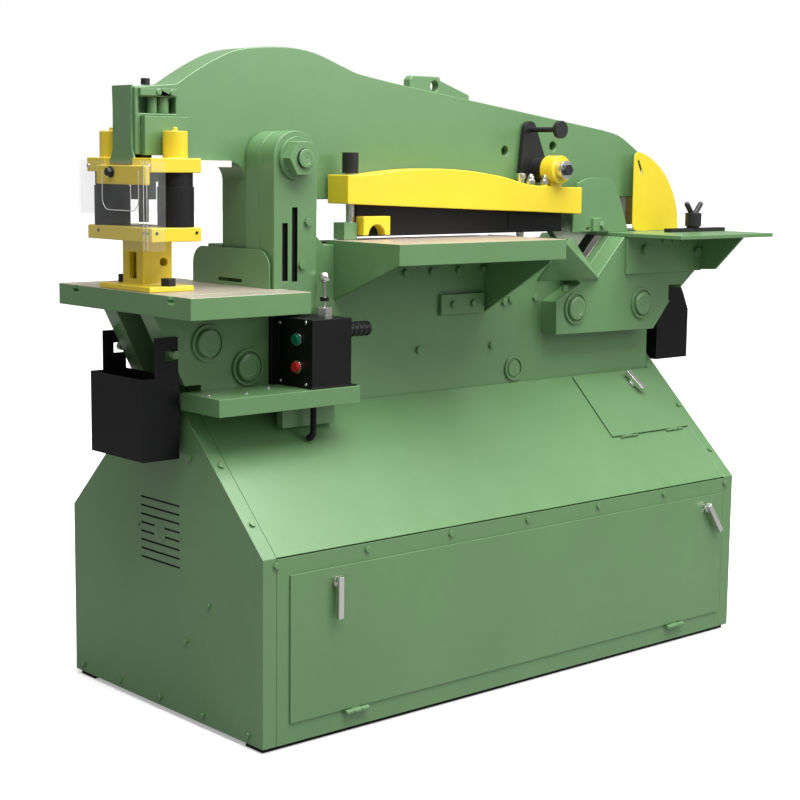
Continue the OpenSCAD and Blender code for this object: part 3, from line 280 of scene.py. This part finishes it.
def sky():
    """An even sky that shows white and lights the object less strongly than it shows."""
    world = bpy.data.worlds.new("studio")
    world.use_nodes = True
    tree = world.node_tree
    lighting = tree.nodes["Background"]
    backdrop = tree.nodes.new("ShaderNodeBackground")
    for node, strength in ((lighting, SKY_LIGHT), (backdrop, SKY_SEEN)):
        node.inputs["Color"].default_value = grey(1)
        node.inputs["Strength"].default_value = strength
    seen = tree.nodes.new("ShaderNodeLightPath")
    both = tree.nodes.new("ShaderNodeMixShader")
    tree.links.new(seen.outputs["Is Camera Ray"], both.inputs[0])
    tree.links.new(lighting.outputs[0], both.inputs[1])
    tree.links.new(backdrop.outputs[0], both.inputs[2])
    tree.links.new(both.outputs[0], tree.nodes["World Output"].inputs["Surface"])
    bpy.context.scene.world = world
    bpy.context.scene.view_settings.view_transform = "Standard"


def softbox(name, place, aim, size, power):
    """A white lamp, a flat rectangle of the given size that faces a point."""
    data = bpy.data.lights.new(name, "AREA")
    data.shape = "RECTANGLE"
    data.size, data.size_y = size
    data.energy = power
    lamp = bpy.data.objects.new(name, data)
    lamp.location = place
    lamp.rotation_euler = (Vector(aim) - Vector(place)).to_track_quat("-Z", "Y").to_euler()
    bpy.context.scene.collection.objects.link(lamp)


def floor_white():
    """A floor that sends little light up at the object and shows nearly white, and whiter with distance."""
    f = Finish("floor_white", Roughness=FLOOR_ROUGHNESS, Specular_IOR_Level=0.0, Emission_Color=grey(1))
    seen = f.add("ShaderNodeLightPath").outputs["Is Camera Ray"]
    reach = f.add("ShaderNodeVectorMath", operation="LENGTH")
    f.link(f.place, reach.inputs[0])
    glow = f.remap(reach.outputs["Value"], NEAR_GLOW, FAR_GLOW, GLOW_FROM, GLOW_TO)
    shown = f.add("ShaderNodeMath", operation="MULTIPLY")
    f.link(glow, shown.inputs[0])
    f.link(seen, shown.inputs[1])
    f.drive("Emission Strength", shown.outputs[0])
    f.drive("Base Color", f.mix(seen, grey(FLOOR_TONE), grey(FLOOR_TONE_SEEN)))
    return f.material


def floor():
    """A wide flat square at the machine's feet."""
    mesh = bpy.data.meshes.new("floor")
    corners = [(x * FLOOR_HALF, y * FLOOR_HALF, 0) for x, y in ((-1, -1), (1, -1), (1, 1), (-1, 1))]
    mesh.from_pydata(corners, [], [(0, 1, 2, 3)])
    mesh.materials.append(floor_white())
    obj = bpy.data.objects.new("floor", mesh)
    bpy.context.scene.collection.objects.link(obj)


camera()
sky()
for lamp_name, lamp_values in LAMPS.items():
    softbox(lamp_name, **lamp_values)
floor()


# ---- the model's own pieces, with rounded edges -----------------------------------------------------------

MERGE = 4e-6
FLAT = 0.6
CORNER = 32
BEVEL_STEPS = 2


def place_piece(obj, body, slot, material=None, replaced=()):
    """Gives a new piece its finish and its body, and hides the CAD nodes it stands for."""
    if not obj.data.materials:
        obj.data.materials.append(material or FINISHES[slot])
    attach(obj, body)
    if replaced:
        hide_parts(*replaced)


def crease(work, angle):
    """Every face smooth, with a crease on each open edge and each edge bent by more than angle degrees."""
    for face in work.faces:
        face.smooth = True
    for edge in work.edges:
        edge.smooth = len(edge.link_faces) == 2 and edge.calc_face_angle(math.pi) < math.radians(angle)


def stretch(node, axis, low, high, finish):
    """A patch of another finish on the part of a node between two places along one axis."""
    corners = np.array([low_corner(node) - 1, high_corner(node) + 1])
    corners[:, axis] = low, high
    return corners[0], corners[1], finish


def whole(node, finish):
    """A patch of another finish on all of a node."""
    return low_corner(node) - 1, high_corner(node) + 1, finish


def paint_faces(mesh, patches):
    """Other finishes on the faces whose middle lies in a box: a patch is its low corner, high corner and
    finish."""
    middles = np.empty(len(mesh.polygons) * 3)
    mesh.polygons.foreach_get("center", middles)
    middles = middles.reshape(-1, 3) / MM
    chosen = np.zeros(len(mesh.polygons), dtype=np.int32)
    for number, (low, high, finish) in enumerate(patches, start=1):
        mesh.materials.append(finish)
        inside = np.all((middles >= low) & (middles <= high), axis=1)
        chosen[inside] = number
    mesh.polygons.foreach_set("material_index", chosen)


def merged(node, dissolve):
    """The node's own form as one skin: its loose triangles are joined, and flat faces are made whole unless
    dissolve is off."""
    mesh = NODES[node].data.copy()
    mesh.materials.clear()
    mesh.materials.append(FINISHES[SLOT_OF[node]])
    work = bmesh.new()
    work.from_mesh(mesh)
    bmesh.ops.remove_doubles(work, verts=work.verts, dist=MERGE)
    if dissolve:
        flat = math.radians(FLAT)
        bmesh.ops.dissolve_limit(work, angle_limit=flat, verts=work.verts, edges=work.edges)
    crease(work, CORNER)
    work.to_mesh(mesh)
    work.free()
    if "custom_normal" in mesh.attributes:
        mesh.attributes.remove(mesh.attributes["custom_normal"])
    return mesh


def soften(node, width, patches, dissolve):
    """The node's own form, with each edge that is bent by more than CORNER degrees rounded by width."""
    mesh = merged(node, dissolve)
    paint_faces(mesh, patches)
    obj = bpy.data.objects.new(node + "_finished", mesh)
    bpy.context.scene.collection.objects.link(obj)
    if width:
        bevel = obj.modifiers.new("rounded_edges", "BEVEL")
        bevel.width = width * MM
        bevel.segments = BEVEL_STEPS
        bevel.limit_method = "ANGLE"
        bevel.angle_limit = math.radians(CORNER)
        bevel.use_clamp_overlap = False
        bevel.loop_slide = False
        bevel.harden_normals = True
    place_piece(obj, BODY_OF[node], SLOT_OF[node], replaced=(node,))


# Widths of the rounded edges. The clear guard keeps its plain edges, with pale lines of painted highlight laid
# along them below.
EDGE_WIDTH = {
    "end_panel_left": 1.2, "end_panel_right": 1.2, "slope_cover_front": 0.8, "slope_cover_rear": 0.8,
    "rear_panel": 0.8, "front_panel": 0.6, "front_door": 1.0, "hatch_lid": 1.2,
    "frame_plate_front": 2.0, "frame_plate_rear": 2.0, "ear_boss": 2.0, "end_plates": 2.0,
    "punch_table": 1.6, "tool_base": 2.5, "upper_tool_plate": 2.0, "table_guard": 0.8,
    "shear_table": 1.4, "angle_guide": 1.2, "notch_table": 1.4, "notch_guard": 0.5, "stop_bar": 1.0,
    "control_shelf": 1.0, "control_box": 1.6, "chip_buckets": 0.6, "beam": 2.5, "nose_blocks": 1.2,
    "nose_end_plate": 0.8, "holddown_bar": 2.5, "blade_guard": 0.8, "frame_spacers": 0.8,
    "frame_bolts": 0.8, "bar_studs": 0.6, "box_fittings": 0.6, "holddown_crank": 0.6,
    "guide_posts": 0.5, "control_lever": 0.5, "clear_guard": 0.0, "stop_knob": 1.0, "hatch_handle": 0.8,
    "latch_left": 0.8, "latch_right": 0.8, "cabinet_screws": 0.8, "upper_blades": 0.5,
    "lower_blades": 0.5, "power_pack": 2.0, "oil_tank": 2.0, "cylinder_barrel": 1.0, "pivot_nuts": 1.2,
}

# Pieces whose flat faces stay as triangles; on these the rounded edges come out cleaner that way.
KEPT_TRIANGLES = {"latch_left", "latch_right", "hatch_handle", "end_panel_left", "end_panel_right",
                  "front_door", "upper_tool_plate", "front_panel"}

PIN_MIDDLE = middle("pivot_pin")
EAR_FACE = low_corner("ear_boss")[Y]
PUNCH_X = middle("punch_die")[X]
PUNCH_TOP = high_corner("punch_table")[Z]
SHEAR_TOP = high_corner("shear_table")[Z]
NOSE_HEAD_Z = high_corner("nose_blocks")[Z] - 15
STUD_HEAD_Z = 1209
STUD_FOOT = ((-349, -111, 1058), (-308, -69, 1099))
BOX_TOP = high_corner("control_box")[Z]
BOX_RIGHT = -425
SHELF_TOP = high_corner("control_shelf")[Z]
CRANK = (338, 1222)
WASHER_REACH = 32
SLEEVE_Z = (high_corner("tool_base")[Z] - 0.1, low_corner("upper_tool_plate")[Z] - 3.9)
STRIP_X = high_corner("tool_base")[X]
# The faces of the grooves in the ear boss, 1 to 9 mm behind its face, are painted black: painted shade in the
# recess.
EAR_GROOVE_SHADE = ((PIN_MIDDLE[X] - 37, EAR_FACE + 1, 972), (PIN_MIDDLE[X] + 6, EAR_FACE + 9, 1136))
FOOT_BOLTS = ((PUNCH_X - 22, -110, PUNCH_TOP + 11), (PUNCH_X + 28, 110, PUNCH_TOP + 42))
CRANK_WASHER = ((CRANK[0] - WASHER_REACH, -161, CRANK[1] - WASHER_REACH),
                (CRANK[0] + WASHER_REACH, -142, CRANK[1] + WASHER_REACH))

# Patches of another finish than the node's own; the black in the ear boss's grooves is painted shade.
PATCHES = {
    "ear_boss": [(*EAR_GROOVE_SHADE, FINISHES["black_paint"])],
    "punch_table": [stretch("punch_table", Z, PUNCH_TOP - 1, PUNCH_TOP + 1, TABLE_STEEL)],
    "shear_table": [stretch("shear_table", Z, SHEAR_TOP - 1, SHEAR_TOP + 1, TABLE_STEEL)],
    "nose_blocks": [stretch("nose_blocks", Z, NOSE_HEAD_Z, NOSE_HEAD_Z + 20, BLACK)],
    "frame_bolts": [(*FOOT_BOLTS, BLACK)],
    "bar_studs": [stretch("bar_studs", Z, STUD_HEAD_Z, STUD_HEAD_Z + 60, BLACK), (*STUD_FOOT, GREEN)],
    "box_fittings": [stretch("box_fittings", X, BOX_RIGHT + 1, BOX_RIGHT + 100, FINISHES["black_plastic"]),
                     stretch("box_fittings", Z, SHELF_TOP - 100, SHELF_TOP, GREEN)],
    "holddown_crank": [(*CRANK_WASHER, CHROME)],
    "guide_posts": [stretch("guide_posts", Z, *SLEEVE_Z, FINISHES["black_rubber"])],
    "control_lever": [stretch("control_lever", Z, BOX_TOP + 45, BOX_TOP + 110, CHROME),
                      stretch("control_lever", Z, BOX_TOP, BOX_TOP + 32, CHROME)],
    "clear_guard": [stretch("clear_guard", X, STRIP_X - 1, STRIP_X + 150, WHITE_STRIP)],
    "hatch_handle": [whole("hatch_handle", CHROME)],
    "latch_left": [whole("latch_left", CHROME)],
    "latch_right": [whole("latch_right", CHROME)],
    "cabinet_screws": [whole("cabinet_screws", GREEN)],
}

for node, obj in NODES.items():
    obj.data.materials.clear()
    obj.data.materials.append(FINISHES[SLOT_OF[node]])
for node, width in EDGE_WIDTH.items():
    soften(node, width, PATCHES.get(node, ()), node not in KEPT_TRIANGLES)


# ---- worked-out surfaces ----------------------------------------------------------------------------------

CREASE = 30
ON_AXIS = 0.01


class Shape:
    """Closed surfaces in millimetres, gathered until they become one piece."""

    def __init__(self):
        self.points = []
        self.faces = []
        self.total = 0

    def skin(self, rings):
        """Rings of points, an array (n, m, 3), joined one to the next by four-sided faces, with a flat cap on
        the first and the last."""
        n, m, _ = rings.shape
        i, j = np.meshgrid(np.arange(n - 1), np.arange(m), indexing="ij")
        k = (j + 1) % m
        quads = np.stack([i * m + j, i * m + k, (i + 1) * m + k, (i + 1) * m + j], axis=-1).reshape(-1, 4)
        self.faces += (quads + self.total).tolist()
        self.faces.append((np.arange(m)[::-1] + self.total).tolist())
        self.faces.append((np.arange(m) + self.total + (n - 1) * m).tolist())
        self.points.append(rings.reshape(-1, 3))
        self.total += n * m

    def piece(self, name, body, slot, material=None, replaced=()):
        """One object of all the surfaces: faces outwards, creases where they meet at over CREASE degrees."""
        mesh = bpy.data.meshes.new(name)
        mesh.from_pydata((np.concatenate(self.points) * MM).tolist(), [], self.faces)
        work = bmesh.new()
        work.from_mesh(mesh)
        bmesh.ops.recalc_face_normals(work, faces=work.faces)
        crease(work, CREASE)
        work.to_mesh(mesh)
        work.free()
        obj = bpy.data.objects.new(name, mesh)
        bpy.context.scene.collection.objects.link(obj)
        place_piece(obj, body, slot, material, replaced)


def along(points, at, out):
    """Points drawn with z as their axis, turned so that z runs along out, and moved to at."""
    out = np.array(out, float) / np.linalg.norm(out)
    side = np.cross((0, 0, 1), out)
    if np.linalg.norm(side) < 1e-6:
        side = np.cross((1, 0, 0), out)
    side /= np.linalg.norm(side)
    return np.asarray(at, float) + points @ np.array([side, np.cross(out, side), out])


def circles(r, a, h):
    """Points x = r cos a, y = r sin a, z = h: r has a row for each height h and a column for each angle a."""
    return np.stack([r * np.cos(a), r * np.sin(a), np.broadcast_to(h[:, None], r.shape)], axis=-1)


def turned(profile, steps=32):
    """A profile of radius and height turned about z."""
    r, h = np.array(profile, float).T
    a = np.linspace(0, 2 * np.pi, steps, endpoint=False)
    return circles(np.repeat(r[:, None], steps, axis=1), a, h)


def hexagon(profile, flats):
    """The same, but no point lies outside a hexagon of the given width across its flats: r is the smaller of
    the profile and the hexagon's edge, so a cone over it leaves the curved chamfer of a real nut."""
    r, h = np.array(profile, float).T
    a = np.linspace(0, 2 * np.pi, 48, endpoint=False)
    edge = flats / 2 / np.cos((a % (np.pi / 3)) - np.pi / 6)
    return circles(np.minimum(r[:, None], edge), a, h)


def disc(r, thick, edge):
    """Profile of a disc of radius r and the given thickness, its rims rounded by edge."""
    a = np.linspace(0, np.pi / 2, 4)
    low = np.stack([r - edge + edge * np.sin(a), edge - edge * np.cos(a)], axis=1)
    top = np.stack([r - edge + edge * np.cos(a), thick - edge + edge * np.sin(a)], axis=1)
    return np.vstack([[ON_AXIS, 0], low, top, [ON_AXIS, thick]])


def swept(path, radius, sides):
    """A round section carried along a path that lies in a plane square to x; radius may vary along it."""
    path = np.array(path, float)
    ahead = np.gradient(path, axis=0)
    ahead /= np.linalg.norm(ahead, axis=1)[:, None]
    side = np.array((1.0, 0.0, 0.0))
    up = np.cross(ahead, side)
    a = np.linspace(0, 2 * np.pi, sides, endpoint=False)
    r = np.broadcast_to(radius, len(path))[:, None, None]
    return path[:, None] + r * (np.cos(a)[None, :, None] * side + np.sin(a)[None, :, None] * up[:, None])


def slab(outline, thick, edge):
    """A flat plate of a convex outline about its own middle, drawn in x and y: both rims are rounded by edge,
    as rings that draw in towards the middle by edge (1 - cos a) at a depth of edge (1 - sin a) from the flat
    face."""
    outline = np.array(outline, float)
    reach = np.linalg.norm(outline, axis=1)[:, None]
    a = np.linspace(np.pi / 2, 0, 4)
    draw = edge * (1 - np.cos(a))
    rise = edge * (1 - np.sin(a))
    inset = np.concatenate([draw, draw[::-1]])
    height = np.concatenate([rise, thick - rise[::-1]])
    flat = outline[None] * (1 - inset[:, None, None] / reach[None])
    return np.concatenate([flat, np.broadcast_to(height[:, None, None], flat.shape[:2] + (1,))], axis=-1)


def round_box(w, h, r):
    """Outline of a w by h rectangle with corners of radius r: four quarter circles in turn."""
    a = np.linspace(0, np.pi / 2, 5)
    x = w / 2 - r
    y = h / 2 - r
    arcs = []
    for quarter, (cx, cy) in enumerate([(x, y), (-x, y), (-x, -y), (x, -y)]):
        turn = a + quarter * np.pi / 2
        arcs.append(np.stack([cx + r * np.cos(turn), cy + r * np.sin(turn)], axis=1))
    return np.vstack(arcs)


# ---- screws and nuts --------------------------------------------------------------------------------------

LEFT = (-1, 0, 0)
FRONT = (0, -1, 0)
UP = (0, 0, 1)
DOWNWARD = (0, 0, -1)


def screw(shape, at, out, radius, height):
    """A button-head screw: the rim curves over and a round socket sinks into the middle."""
    rim = [(ON_AXIS, 0), (radius, 0), (radius, 0.35 * height), (0.93 * radius, 0.68 * height),
           (0.76 * radius, 0.92 * height), (0.52 * radius, height)]
    socket = [(0.42 * radius, 0.96 * height), (0.38 * radius, 0.35 * height), (ON_AXIS, 0.30 * height)]
    shape.skin(along(turned(rim + socket, 24), at, out))


def nut(shape, at, out, flats, height):
    """A hexagon nut or head with chamfered corners on its outer face."""
    r = flats / math.sqrt(3)
    profile = [(ON_AXIS, 0), (0.97 * r, 0), (r, 0.05 * height), (r, 0.84 * height),
               (0.485 * flats, height), (ON_AXIS, height)]
    shape.skin(along(hexagon(profile, flats), at, out))


def acorn(shape, at, flats, height):
    """A domed nut: a hexagon foot, a shoulder, and a dome whose radius falls as the root of 1 - t^2."""
    t = np.linspace(0, 0.995, 9)
    dome = np.stack([0.42 * flats * np.sqrt(1 - t ** 2), height * (0.45 + 0.55 * t)], axis=1)
    foot = [(ON_AXIS, 0), (0.577 * flats, 0), (0.577 * flats, 0.34 * height), (0.5 * flats, 0.42 * height)]
    shape.skin(along(hexagon(np.vstack([foot, dome]), flats), at, UP))


# ---- small parts ------------------------------------------------------------------------------------------

FAN_Y, FAN_Z = 6, 414
FAN_SCREW_REACH = 85
FAN_WIDE, FAN_TALL, FAN_CORNER = 176, 170, 20
FAN_THICK, FAN_RIM, FAN_DEPTH = 12, 3, 16


def fan_fittings(name, node, side):
    """A black fan housing close behind the air slots, and on the outside the boss of its motor with low steps
    and a screw at each side: the boss and the screws are turned about x, the housing is a slab."""
    face = low_corner(node)[X] if side < 0 else high_corner(node)[X]
    out = (side, 0, 0)
    steps = [(ON_AXIS, 0), (23, 0), (23, 0.8), (21.5, 1.6), (15, 1.8), (14, 2.8), (7.5, 3.2), (6.5, 2.2),
             (ON_AXIS, 2.2)]
    boss = Shape()
    boss.skin(along(turned(steps, 40), (face, FAN_Y, FAN_Z - 1), out))
    for y in (FAN_Y - FAN_SCREW_REACH, FAN_Y + FAN_SCREW_REACH):
        screw(boss, (face, y, FAN_Z + 2), out, 4, 2.4)
    boss.piece(name + "_boss", "frame", SLOT_OF[node])
    housing = Shape()
    plate = slab(round_box(FAN_WIDE, FAN_TALL, FAN_CORNER), FAN_THICK, FAN_RIM)
    housing.skin(along(plate, (face - side * FAN_DEPTH, FAN_Y, FAN_Z), out))
    housing.piece(name + "_housing", "frame", "black_plastic")


BOX_FACE = low_corner("control_box")[X] + 20
BOX_SCREWS = [(-209.6, 886), (-210.4, 748.3), (-118.3, 748.3), (-115.8, 880.2)]
SHELF_SCREWS = [(-774.6, -176.3), (-689.2, -195.3), (-597.1, -151.3)]


def box_and_shelf_screws():
    """The screws of the control box's face, by y and z, and of the shelf's top, by x and y."""
    shape = Shape()
    for y, z in BOX_SCREWS:
        screw(shape, (BOX_FACE, y, z), LEFT, 4.2, 2.6)
    for x, y in SHELF_SCREWS:
        screw(shape, (x, y, SHELF_TOP), UP, 5, 3)
    shape.piece("box_and_shelf_screws", "frame", "plated_steel")


PUNCH_END, PUNCH_FRONT, _ = low_corner("tool_base")
UPPER_SCREW_Y, UPPER_SCREW_Z = 119, 1222


def upper_plate_screws():
    """Two screws in the end of the upper punch plate."""
    shape = Shape()
    for y in (-UPPER_SCREW_Y, UPPER_SCREW_Y):
        screw(shape, (PUNCH_END, y, UPPER_SCREW_Z), LEFT, 5, 3.2)
    shape.piece("upper_plate_screws", BODY_OF["upper_tool_plate"], "plated_steel")


BASE_SCREW_Z = high_corner("tool_base")[Z] - 11
BASE_END_SCREWS_Y = (-98, -112, 82)
BASE_FRONT_SCREWS_X = (PUNCH_X - 50, PUNCH_X + 50)


def base_plate_screws():
    """Small screws in the end and the front of the lower punch plate."""
    shape = Shape()
    for y in BASE_END_SCREWS_Y:
        screw(shape, (PUNCH_END, y, BASE_SCREW_Z), LEFT, 3.4, 2.2)
    for x in BASE_FRONT_SCREWS_X:
        screw(shape, (x, PUNCH_FRONT, BASE_SCREW_Z), FRONT, 3.4, 2.2)
    shape.piece("base_plate_screws", "frame", "black_steel")


DOME_NUTS_X = (258, 309)
DOME_NUTS_Y, DOME_NUTS_Z = -112, 1186


def bar_dome_nuts():
    """Two domed nuts on the yellow bar."""
    shape = Shape()
    for x in DOME_NUTS_X:
        acorn(shape, (x, DOME_NUTS_Y, DOME_NUTS_Z), 20, 26)
    shape.piece("bar_dome_nuts", BODY_OF["holddown_bar"], "plated_steel")


def pivot_pin_face():
    """The pin's end face, turned about y: a raised ring round a lower floor, with a small centre hole."""
    shape = Shape()
    face = [(ON_AXIS, 0.0), (20, 0.0), (20.5, 0.4), (20.5, 1.2), (19.6, 2.0), (13, 2.2), (12.4, 1.4),
            (3.2, 1.4), (2.4, 0.6), (ON_AXIS, 0.6)]
    at = (PIN_MIDDLE[X], low_corner("pivot_pin")[Y], PIN_MIDDLE[Z])
    shape.skin(along(turned(face, 48), at, FRONT))
    shape.piece("pivot_pin_face", "frame", "green_paint")


LEAD_X, LEAD_Y = -500, -190
LEAD_TOP = SHELF_TOP + 12
LEAD_DROP = 112
LEAD_STRAIGHT = 0.78
LEAD_BEND_Y, LEAD_BEND_Z = 16, 18
LEAD_R, LEAD_RIPPLE, LEAD_RIBS = 6.9, 0.8, 30
LEAD_POINTS = 150


def corrugated_lead():
    """A corrugated lead: straight down for its first share, then a quarter of an ellipse back towards the
    cabinet, with a radius that swells as a cosine LEAD_RIBS times on the way. A collar sits round it
    under the shelf."""
    shape = Shape()
    t = np.linspace(0, 1, LEAD_POINTS)
    drop = LEAD_TOP - LEAD_DROP * np.minimum(t / LEAD_STRAIGHT, 1)
    bend = np.clip((t - LEAD_STRAIGHT) / (1 - LEAD_STRAIGHT), 0, 1) * np.pi / 2
    back = LEAD_Y + LEAD_BEND_Y * (1 - np.cos(bend))
    path = np.stack([np.full(LEAD_POINTS, float(LEAD_X)), back, drop - LEAD_BEND_Z * np.sin(bend)], axis=1)
    shape.skin(swept(path, LEAD_R + LEAD_RIPPLE * np.cos(t * 2 * np.pi * LEAD_RIBS), 24))
    shape.skin(along(turned(disc(11, 9, 1.5)), (LEAD_X, LEAD_Y, SHELF_TOP - 1), DOWNWARD))
    shape.piece("corrugated_lead", BODY_OF["shelf_conduit"], SLOT_OF["shelf_conduit"],
                replaced=("shelf_conduit",))


GUARD_LOW = low_corner("clear_guard")
GUARD_TOP_Z = 1234
GUARD_CORNERS_Y = (GUARD_LOW[Y] + 1, GUARD_LOW[Y] + 13)
FLAP_NEAR_Y, FLAP_FAR_Y = -108, 34
FLAP_LOW_Z, FLAP_TOP_Z = 1130, 1214
FLAP_CORNER = 26


def clear_guard_edge_highlights():
    """Painted highlights on the clear guard's edges: pale, nearly opaque round lines along the flap's U, whose
    two lower corners are quarter circles, and up the front corner of the sheet."""
    shape = Shape()
    a = np.linspace(0, np.pi / 2, 10)
    inward = FLAP_CORNER * (1 - np.cos(a))
    height = FLAP_LOW_Z + FLAP_CORNER * (1 - np.sin(a))
    far = np.stack([FLAP_FAR_Y - inward, height], axis=1)
    near = np.stack([FLAP_NEAR_Y + inward, height], axis=1)[::-1]
    line = np.vstack([[FLAP_FAR_Y, FLAP_TOP_Z], far, near, [FLAP_NEAR_Y, FLAP_TOP_Z]])
    shape.skin(swept(np.insert(line, 0, GUARD_LOW[X] - 2, axis=1), 0.9, 8))
    for y in GUARD_CORNERS_Y:
        ends = [(GUARD_LOW[X], y, GUARD_LOW[Z] + 3), (GUARD_LOW[X], y, GUARD_TOP_Z)]
        shape.skin(swept(np.linspace(*ends, 3), 0.8, 8))
    # The lines' nearly opaque pale finish is a painted highlight along the guard's edges.
    shape.piece("clear_guard_edge_highlights", BODY_OF["clear_guard"], "clear_sheet", clear_plastic("clear_edge_highlight", 0.75))


CLAMP_END = low_corner("upper_tool_plate")[X]
CLAMP_Y, CLAMP_Z = 4, 1210
CLAMP_WASHER = 4


def nose_clamp_bolt():
    """A hexagon head on a round washer, in the end of the upper punch plate."""
    shape = Shape()
    shape.skin(along(turned(disc(12, CLAMP_WASHER, 1)), (CLAMP_END, CLAMP_Y, CLAMP_Z), LEFT))
    nut(shape, (CLAMP_END - CLAMP_WASHER, CLAMP_Y, CLAMP_Z), LEFT, 17, 9)
    shape.piece("nose_clamp_bolt", BODY_OF["upper_tool_plate"], "black_steel")


CAP_STANDS = 6
LEFT_CAPS_Y = low_corner("frame_plate_front")[Y] - CAP_STANDS
RIGHT_CAPS_Y = low_corner("end_plates")[Y] - CAP_STANDS
TIE_CAPS = [(PIN_MIDDLE[X] - 201, LEFT_CAPS_Y, 843), (PIN_MIDDLE[X] - 94, LEFT_CAPS_Y, 783),
            (391, RIGHT_CAPS_Y, 869), (650, RIGHT_CAPS_Y, 870)]


def tie_cap_faces():
    """A raised step with a shallow recess on the face of each round tie-bar cap, turned about y."""
    shape = Shape()
    step = [(ON_AXIS, 0), (30, 0), (30, 3.6), (29, 5.2), (27, 6), (19, 6.4), (18, 5.6), (ON_AXIS, 5.6)]
    for at in TIE_CAPS:
        shape.skin(along(turned(step, 48), at, FRONT))
    shape.piece("tie_cap_faces", "frame", "green_paint")


fan_fittings("fan_left", "end_panel_left", -1)
fan_fittings("fan_right", "end_panel_right", 1)
box_and_shelf_screws()
upper_plate_screws()
base_plate_screws()
bar_dome_nuts()
pivot_pin_face()
corrugated_lead()
clear_guard_edge_highlights()
nose_clamp_bolt()
tie_cap_faces()
